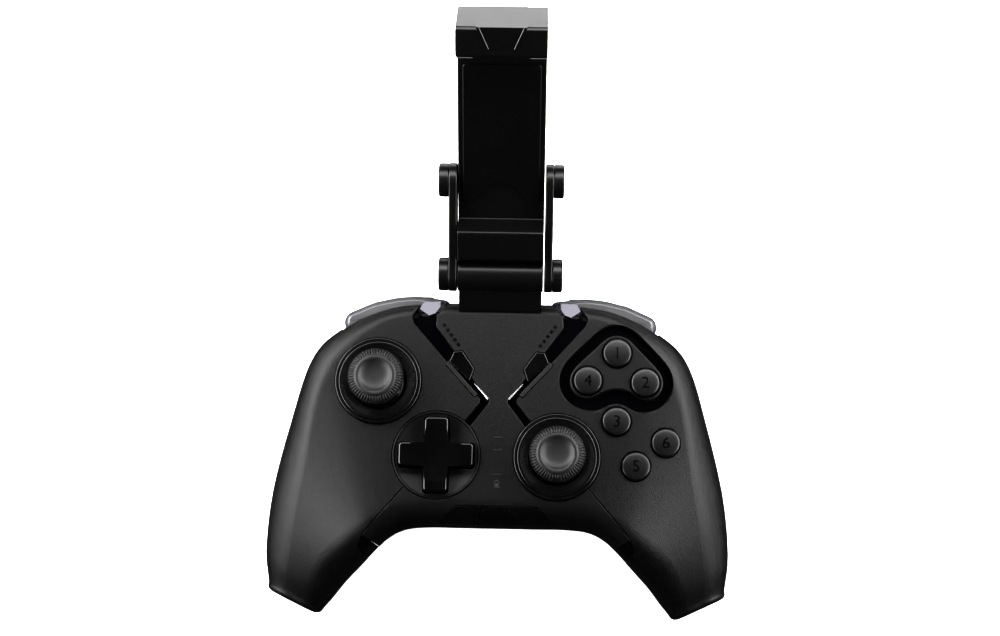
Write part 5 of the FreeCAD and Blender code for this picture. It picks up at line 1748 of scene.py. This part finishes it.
@dataclass
class FlatKeys:
    """The six-sided keys in the channels and the three keys along the front edge."""

    hex_top: float = 42.4
    hex_low: float = 35.0
    hex_round: float = 0.2
    hex_edge: float = 0.3
    front_low: float = 34.8
    rise: float = 0.22
    wall: float = WALL
    edge: float = 0.32

    def six_sided(self) -> None:
        """Select on the left, start on the right."""
        right = list(PLAN.hex_key)
        for outline, name in ((right, "start"), (mirrored(right), "select")):
            outline = rounded(outline, self.hex_round, 2)
            key = pillow(name + "_key", outline, self.hex_low, self.hex_top, self.hex_edge,
                         steps=3)
            placed(smoothed(key), KEY_GLOSS, name + "_button", "gloss_black", name + "_button")

    def front(self) -> None:
        """The three front keys, which follow the rounding of the casing."""
        for outline, place in zip(PLAN.menu_keys, ("left", "middle", "right")):
            key = FORM.solid("front_key_" + place, -self.rise)
            column = prism("keep", anticlockwise(list(outline)), self.front_low, OVER_FACE)
            combined(key, [column], Join.KEEP)
            combined(key, [FORM.solid("core", self.wall)])
            bevelled(key, self.edge, 3, CREASE_SWEPT)
            name = "menu_button_" + place
            placed(smoothed(key), KEY_GLOSS, name, "button_satin", name)

    def build(self) -> None:
        """Make all flat keys."""
        self.six_sided()
        self.front()


@dataclass
class RearControls:
    """Bumpers and triggers at the rear corners, and the controls underneath."""

    bumper_z: Point = (27.6, 36.6)
    bumper_edge: float = 2.3
    bumper_fall: float = 5.0
    bumper_steps: int = 10
    bumper_under: float = 0.5
    bumper_rounds: tuple[tuple[float, int], ...] = ((14.0, 8), (0.6, 2))
    blend: float = 1.2
    outline: tuple[Point, ...] = (
        (17.0, 31.0), (22.5, 31.0), (22.5, 34.7), (31.0, 35.2), (40.0, 33.0), (47.0, 29.8),
        (50.3, 27.2), (52.9, 31.8), (51.9, 35.1), (42.6, 39.3), (35.0, 41.0), (28.4, 41.7),
        (18.3, 40.4), (17.0, 39.4))
    middle: tuple[Point, ...] = (
        (17.0, 37.2), (31.0, 39.2), (40.0, 37.0), (47.0, 33.4), (52.0, 29.6))
    pivot: Point = (25.0, 19.5)
    hub_r: float = 3.2
    trigger_x: Point = (23.0, 51.5)
    trigger_steps: int = 20
    end_round: float = 0.7
    end_steps: int = 3
    spring_x: float = 27.4
    bend: tuple[Point, ...] = ((23.0, 0.0), (35.0, 0.0), (43.0, -2.5), (51.5, -7.7))
    back: tuple[Point, ...] = ((42.9, 24.6), (42.7, 15.0), (45.0, 7.4))
    tip: Point = (44.0, 5.9)
    front: tuple[Point, ...] = ((42.4, 6.8), (40.6, 13.0), (40.3, 19.4))
    arm_top: tuple[Place, ...] = ((33.0, 24.4, 0.3), (41.6, 25.6, 1.0))
    arm_root: tuple[Place, ...] = ((37.6, 20.0, 0.8), (30.5, 17.2, 0.1))

    @staticmethod
    def between(table: tuple[Point, ...], x: float) -> float:
        """Value of a broken line.

        Args:
            table: Its corners, from left to right.
            x: Where the value is taken.

        Returns:
            The value there, or at the nearer end if x lies beyond it.
        """
        if x <= table[0][0]:
            return table[0][1]
        for (x0, y0), (x1, y1) in zip(table, table[1:]):
            if x <= x1:
                return y0 + (y1 - y0) * (x - x0) / (x1 - x0)
        return table[-1][1]

    def bumper(self) -> None:
        """Both bumpers, with a broad rounding on the outer side alone."""
        low, high = self.bumper_z
        outline = list(self.outline)
        for radius, steps in self.bumper_rounds:
            outline = rounded(outline, radius, steps)
        outline = anticlockwise(outline)
        outer = [min(1.0, max(0.0, (y - self.between(self.middle, x)) / self.blend))
                 for x, y in outline]
        under = self.bumper_under
        rings = [level(grown(outline, -under), low), level(outline, low + under)]
        for k in range(self.bumper_steps + 1):
            t = math.radians(90.0 / self.bumper_steps * k)
            spread = grown(outline, -self.bumper_edge * (1 - math.cos(t)))
            z = high - self.bumper_fall * (1 - math.sin(t))
            rings.append([Vector((x0 + (x1 - x0) * w, y0 + (y1 - y0) * w, z))
                          for (x0, y0), (x1, y1), w in zip(outline, spread, outer)])
        for side, piece in paired("bumper_bar", swept("right_bumper_bar", rings)):
            name = side + "_bumper"
            placed(smoothed(piece, CREASE_SWEPT), BUMPER, name, "bumper_gunmetal", name)

    @staticmethod
    def arc(a: Point, b: Point, c: Point, steps: int = 8) -> list[Point]:
        """Smooth curve through three points.

        Args:
            a: First point.
            b: Point in the middle.
            c: Last point.
            steps: Chords.

        Returns:
            The points of the curve, with both ends.
        """
        mid = (2 * b[0] - (a[0] + c[0]) / 2, 2 * b[1] - (a[1] + c[1]) / 2)
        out = []
        for k in range(steps + 1):
            t = k / steps
            out.append(tuple(p * (1 - t) ** 2 + 2 * q * t * (1 - t) + r * t * t
                             for p, q, r in zip(a, mid, c)))
        return out

    def trigger_ring(self, x: float, inset: float) -> list[Vector]:
        """Section of the right trigger.

        Args:
            x: Place along the pin.
            inset: How far the section is drawn in.

        Returns:
            The closed section.
        """
        y0, z0 = self.pivot
        shift = sum(self.between(self.bend, x + d) for d in (-3.0, 0.0, 3.0)) / 3
        hub = [(y0 + a, z0 + b) for a, b in circle((0.0, 0.0), self.hub_r, 12, 270.0, -180.0)]
        top = [(y + shift * share, z) for y, z, share in self.arm_top]
        root = [(y + shift * share, z) for y, z, share in self.arm_root]
        finger = self.arc(*self.back) + self.arc(self.back[-1], self.tip, self.front[0], 6)[1:]
        finger += self.arc(*self.front)[1:]
        outline = anticlockwise(hub + top + [(y + shift, z) for y, z in finger] + root)
        return [Vector((x, y, z)) for y, z in grown(outline, -inset)]

    def trigger(self) -> None:
        """Both triggers: finger wall, arm and hub, with rounded ends."""
        x0, x1 = self.trigger_x
        edge, inside = self.end_round, self.trigger_x[1] - self.trigger_x[0] - 2 * self.end_round
        turns = [math.radians(90.0 / self.end_steps * k) for k in range(self.end_steps + 1)]
        ends = [(edge * (1 - math.cos(t)), edge * (1 - math.sin(t))) for t in turns]
        rings = [self.trigger_ring(x0 + in_x, inset) for in_x, inset in ends]
        rings += [self.trigger_ring(x0 + edge + inside * k / self.trigger_steps, 0.0)
                  for k in range(1, self.trigger_steps)]
        rings += [self.trigger_ring(x1 - in_x, inset) for in_x, inset in ends[::-1]]
        right = swept("right_trigger_finger", rings)
        room = self.hub_r + 1.0
        y, z = self.pivot
        combined(right, [block("room", (x0 - 1.0, self.spring_x), (y - room, y + room),
                               (z - 15.0, z + 15.0))])
        for side, piece in paired("trigger_finger", right):
            name = side + "_trigger"
            placed(smoothed(piece), TRIGGER, name, "trigger_satin", name)

    def build(self) -> None:
        """Make the rear controls and dress the small ones."""
        self.bumper()
        self.trigger()
        dressed(BUTTON, "left_rear_key", "right_rear_key", "mode_switch")
        dressed(STEEL, "hinge_pins", "trigger_springs", "charging_port", "case_screws")


@dataclass
class PhoneHolder:
    """The folding clamp: foot with barrel, two links on pivot knobs, clamp plate with its jaws."""

    hinge: Point = (46.4, 48.0)
    slope: float = 25.0
    length: float = 31.5
    plate_slope: float = 40.0
    half: float = 14.05
    barrel_r: float = 5.4
    knob_r: float = 5.5
    link_x: Point = (14.35, 17.05)
    link_r: float = 5.6
    knob_t: float = 3.3
    knob_gap: float = 0.05
    knob_neck: float = 2.0
    end_inset: float = 8.0
    link_waist: float = 4.9
    plate_z: Point = (-5.0, 3.2)
    slot_half: float = 9.3
    slot_z: Point = (-3.3, -0.7)
    pad_half: float = 12.4
    pad_y: Point = (-5.6, 42.0)
    pad_top: float = 4.0
    jaw_y: Point = (48.0, 58.0)
    jaw_back: float = -4.6
    jaw_reach: float = 14.0
    jaw_edge: float = 0.8
    foot_profile: tuple[Point, ...] = (
        (34.9, 42.15), (37.6, 40.9), (38.7, 38.2), (38.7, 27.4), (42.2, 27.4), (42.2, 38.0),
        (48.5, 43.8), (46.4, 48.0), (41.6, 47.6), (35.6, 43.6))
    foot_inset: float = 0.4
    bevel: float = 0.35
    link_bevel: float = 0.45
    plate_bevel: float = 0.4
    bevel_angle: float = 40.0
    jaw_angle: float = 25.0
    pad_round: float = 1.0
    pad_edge: float = 0.3
    slide_y: Point = (-9.0, 49.0)
    slide_z: Point = (-3.0, -1.0)
    slide_edge: float = 0.2
    slide_half: float = 9.0
    rod_r: float = 0.15

    def upper_hinge(self) -> Point:
        """Place of the upper hinge."""
        return turned([(self.length, 0.0)], self.hinge, self.slope)[0]

    def plate(self) -> Matrix:
        """Frame of the clamp: X across, Y up the plate, Z out of its front."""
        turn = Matrix.Rotation(math.radians(self.plate_slope), 4, "X")
        return Matrix.Translation((0, *self.upper_hinge())) @ turn

    def foot(self) -> None:
        """Foot on the rear edge with the lower barrel."""
        half = self.half - self.foot_inset
        web = across("foot", list(self.foot_profile), -half, half)
        barrel = across("barrel", circle(self.hinge, self.barrel_r, 72), -self.half, self.half)
        combined(web, [barrel], Join.ADD)
        bevelled(web, self.bevel, 3, self.bevel_angle)
        placed(smoothed(web), HOLDER, "pad", "holder_satin", "holder_base")

    def links(self) -> None:
        """Both side links with rounded ends."""
        near, far, waist = self.end_inset, self.length - self.end_inset, self.link_waist
        outline = circle((0, 0), self.link_r, 24, 90.0, 180.0) + [(near, -waist), (far, -waist)]
        outline += circle((self.length, 0), self.link_r, 24, -90.0, 180.0)
        outline += [(far, waist), (near, waist)]
        profile = turned(outline, self.hinge, self.slope)
        right = across("right_link_arm", profile, *self.link_x)
        bevelled(right, self.link_bevel, 3, self.bevel_angle)
        for side, piece in paired("link_arm", right):
            placed(smoothed(piece), HOLDER, "links", "holder_satin", side + "_link")

    def knobs(self) -> None:
        """The pivot knobs outside the links."""
        x, r, deep = self.link_x[1] + self.knob_gap, self.knob_r, self.knob_t
        neck = self.knob_neck
        shape = [(-neck, neck), (0.0, neck), (0.0, r - 0.35), (0.1, r - 0.1), (0.3, r),
                 (deep - 0.7, r), (deep - 0.3, r - 0.12), (deep - 0.08, r - 0.4), (deep, r - 0.8)]
        for (y, z), place in ((self.hinge, "lower"), (self.upper_hinge(), "upper")):
            rings = [[Vector((x + out, y + a, z + b)) for a, b in circle((0, 0), size, 72)]
                     for out, size in shape]
            right = swept(place + "_knob", rings)
            knobs = joined(place + "_knobs", [right, other_side("other", right)])
            placed(smoothed(knobs, CREASE_TURNED), HOLDER, "links", "holder_satin",
                   place + "_pivot_bolts")

    def clamp(self) -> None:
        """Clamp plate with the lower jaw, its shelf and the pad."""
        back, front = self.plate_z
        profile = [(-23.3, back), (-23.3, 11.8), (-22.1, 13.0), (-12.8, 13.0), (-12.2, 12.4),
                   (-12.2, front), (47.6, front), (47.6, back)]
        plate = across("clamp_plate", profile, -self.half, self.half)
        slot = block("slot", (-self.slot_half, self.slot_half), (-10.0, 80.0), self.slot_z)
        combined(plate, [slot])
        bevelled(plate, self.plate_bevel, 3, self.bevel_angle)
        placed(smoothed(moved(plate, self.plate())), HOLDER, "clamp", "holder_satin", "clamp_body")
        (low, high), half = self.pad_y, self.pad_half
        outline = [(-half, low), (-9.0, low), (-3.6, 0.6), (3.6, 0.6), (9.0, low), (half, low),
                   (half, high), (-half, high)]
        outline = rounded(outline, self.pad_round, 4)
        pad = pillow("phone_pad", outline, front, self.pad_top, self.pad_edge)
        placed(smoothed(moved(pad, self.plate())), PAD, "clamp", "pad_rubber", "clamp_pad")

    def rod(self, start: Place, end: Place) -> bpy.types.Object:
        """Thin bright rod on an edge of the upper jaw, a painted highlight.

        Args:
            start: One end, in the frame of the clamp.
            end: The other end.

        Returns:
            The rod.
        """
        a, b = Vector(start), Vector(end)
        u = (b - a).orthogonal().normalized()
        v = (b - a).normalized().cross(u)
        section = circle((0.0, 0.0), self.rod_r, 8)
        return swept("rod", [[p + u * i + v * j for i, j in section] for p in (a, b)])

    def jaw(self) -> None:
        """Upper jaw with its raised centre, bright rods on its edges as painted highlights, and its
        slide.
        """
        (under, top), reach, edge = self.jaw_y, self.jaw_reach, self.jaw_edge
        half, crease = self.half + 0.1, self.jaw_y[0] + 3.2
        profile = [(under, self.jaw_back), (top, self.jaw_back), (top, reach - edge),
                   (top - edge, reach), (under + edge, reach), (under, reach - edge)]
        body = across("upper_jaw_block", profile, -half, half)
        bevelled(body, self.bevel, 3, self.jaw_angle)
        root = [(-4.2, crease), (4.2, crease), (7.8, top + 0.1), (-7.8, top + 0.1)]
        crown = [(-4.0, crease), (4.0, crease), (6.9, top + 0.3), (-6.9, top + 0.3)]
        front = [Vector((x, y, reach + 0.1 + 0.4 * (y > top))) for x, y in crown]
        crest = swept("crest", [level(root, -4.4), level(root, reach - 0.02), front])
        combined(body, [crest], Join.ADD)
        placed(smoothed(moved(body, self.plate())), HOLDER, "jaw", "holder_satin", "upper_jaw")
        # Painted highlights: bright rods along the crest's slanted sides, the lower front edge and
        # the outer ends.
        lines = (((4.0, crease, reach + 0.1), (6.9, top + 0.15, reach + 0.48)),
                 ((8.9, under + 0.12, reach - 0.12), (half - 0.2, under + 0.12, reach - 0.12)),
                 ((half - 0.1, under + 0.8, reach - 0.1), (half - 0.1, top - 1.0, reach - 0.1)))
        rods = [self.rod((side * a[0], *a[1:]), (side * b[0], *b[1:]))
                for side in SIDES for a, b in lines]
        edges = moved(joined("jaw_edge_glints", rods), self.plate())
        placed(smoothed(edges, CREASE_ROD), PAINTED_EDGE_GLINT, "jaw", "holder_satin")
        outline = oblong((-self.slide_half, self.slide_half), self.slide_y)
        slide = pillow("jaw_slide", outline, *self.slide_z, self.slide_edge)
        placed(smoothed(moved(slide, self.plate())), HOLDER, "jaw", "holder_satin")

    def build(self) -> None:
        """Make the whole holder."""
        self.foot()
        self.links()
        self.knobs()
        self.clamp()
        self.jaw()


@dataclass
class InnerParts:
    """What lies inside the casing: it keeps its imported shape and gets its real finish."""

    finishes: dict[str, Finish] = field(default_factory=lambda: {
        "main_board": BOARD, "key_membranes": MEMBRANE, "battery": BATTERY, "rumble_motors": STEEL,
        "left_rumble_weight": BRASS, "right_rumble_weight": BRASS, "light_guides": LIGHT})

    def build(self) -> None:
        """Dress every inner node."""
        for name, finish in self.finishes.items():
            dressed(finish, name)


@dataclass
class Studio:
    """Floor, lights and the camera at the photograph's angle."""

    aim: Place = (0.0, 33.0, 42.0)
    distance: float = 600.0
    tilt: float = 10.0
    shift_x: float = 12.0
    roll: float = -1.0
    focal_px: float = 1806.0
    frame_px: float = 1000.0
    sensor: float = 36.0
    clip: Point = (0.01, 20.0)
    floor_half: float = 2500.0
    floor_z: Point = (-12.0, -0.05)
    wall_top: float = 3000.0
    wall_thick: float = 60.0
    dark_half: float = 180.0
    dark_from: float = -80.0
    dark_to: float = 190.0
    lamp_aim: Place = (0.0, 0.0, 30.0)
    lamps: tuple[tuple[str, Place, Point, float], ...] = (
        ("key_left", (-500, 50, 310), (760, 420), 11.5),
        ("key_right", (500, 70, 330), (760, 420), 10.0),
        ("rear", (0, 230, 330), (700, 160), 3.1))
    sky: float = 0.012
    gamma: float = 0.72

    def floor(self) -> None:
        """A large pale floor with pale walls far off.

        The near part of the floor and the walls don't show in the gloss parts, as if black cards
        lay round them.
        """
        far, half, line, deep = self.floor_half, self.dark_half, self.dark_from, self.dark_to
        step = [(half, line), (half, deep), (-half, deep), (-half, line)]
        front = [(-far, -far), (far, -far), (far, line)] + step + [(-far, line)]
        rear = [(-far, line)] + step[::-1] + [(far, line), (far, far), (-far, far)]
        for name, outline in (("floor_front", front), ("floor_rear", rear)):
            floor = prism(name, outline, *self.floor_z)
            floor.data.materials.append(FLOOR.material())
            floor.visible_glossy = outline is rear
        near = far - self.wall_thick
        for name, x, y in (("wall_front", (-far, far), (-far, -near)),
                           ("wall_rear", (-far, far), (near, far)),
                           ("wall_left", (-far, -near), (-near, near)),
                           ("wall_right", (near, far), (-near, near))):
            wall = block(name, x, y, (self.floor_z[1], self.wall_top))
            wall.data.materials.append(FLOOR.material())
            wall.visible_glossy = wall.visible_diffuse = wall.visible_shadow = False

    def lamp(self, name: str, place: Place, size: Point, power: float) -> None:
        """One soft box aimed at the pad.

        Args:
            name: Name of the light.
            place: Where it stands, in millimetres.
            size: Width and height in millimetres.
            power: Power in watts.
        """
        light = bpy.data.lights.new(name, "AREA")
        light.shape = "RECTANGLE"
        light.size, light.size_y = size[0] * MM, size[1] * MM
        light.energy = power
        lamp = in_scene(name, light)
        lamp.location = Vector(place) * MM
        lamp.visible_camera = False
        way = Vector(self.lamp_aim) * MM - lamp.location
        lamp.rotation_euler = way.to_track_quat("-Z", "Y").to_euler()

    def lights(self) -> None:
        """Soft boxes round the object and a pale sky."""
        for lamp in self.lamps:
            self.lamp(*lamp)
        world = bpy.data.worlds.new("sky")
        world.use_nodes = True
        sky = world.node_tree.nodes["Background"]
        sky.inputs["Color"].default_value = (1.0, 1.0, 1.0, 1.0)
        sky.inputs["Strength"].default_value = self.sky
        bpy.context.scene.world = world

    def camera(self) -> None:
        """The camera, tilted as in the photograph."""
        data = bpy.data.cameras.new("camera")
        data.sensor_width = self.sensor
        data.lens = self.focal_px * self.sensor / self.frame_px
        data.clip_start, data.clip_end = self.clip
        camera = in_scene("camera", data)
        turn = math.radians(self.tilt)
        forward = Vector((0.0, math.sin(turn), -math.cos(turn)))
        place = Vector(self.aim) - forward * self.distance + Vector((self.shift_x, 0.0, 0.0))
        forward = (Vector(self.aim) - place).normalized()
        right = forward.cross(Vector((0.0, math.cos(turn), math.sin(turn)))).normalized()
        basis = Matrix((right, right.cross(forward), -forward)).transposed().to_4x4()
        roll = Matrix.Rotation(math.radians(-self.roll), 4, "Z")
        camera.matrix_world = Matrix.Translation(place * MM) @ basis @ roll
        bpy.context.scene.camera = camera

    def build(self) -> None:
        """Set up the studio."""
        self.floor()
        self.lights()
        self.camera()
        view = bpy.context.scene.view_settings
        view.view_transform = "Standard"
        view.gamma = self.gamma


def main() -> None:
    """Build every sub-assembly in order."""
    logging.basicConfig(level=logging.INFO, format="%(name)s: %(message)s")
    Studio().build()
    sticks = [ThumbStick("left", PLAN.left_stick), ThumbStick("right", PLAN.right_stick)]
    for assembly in (Casing(), *sticks, CrossPad(), RoundButtons(), FlatKeys(), RearControls(),
                     PhoneHolder(), InnerParts()):
        assembly.build()
        LOG.info("%s done", type(assembly).__name__)


if __name__ == "__main__":
    main()
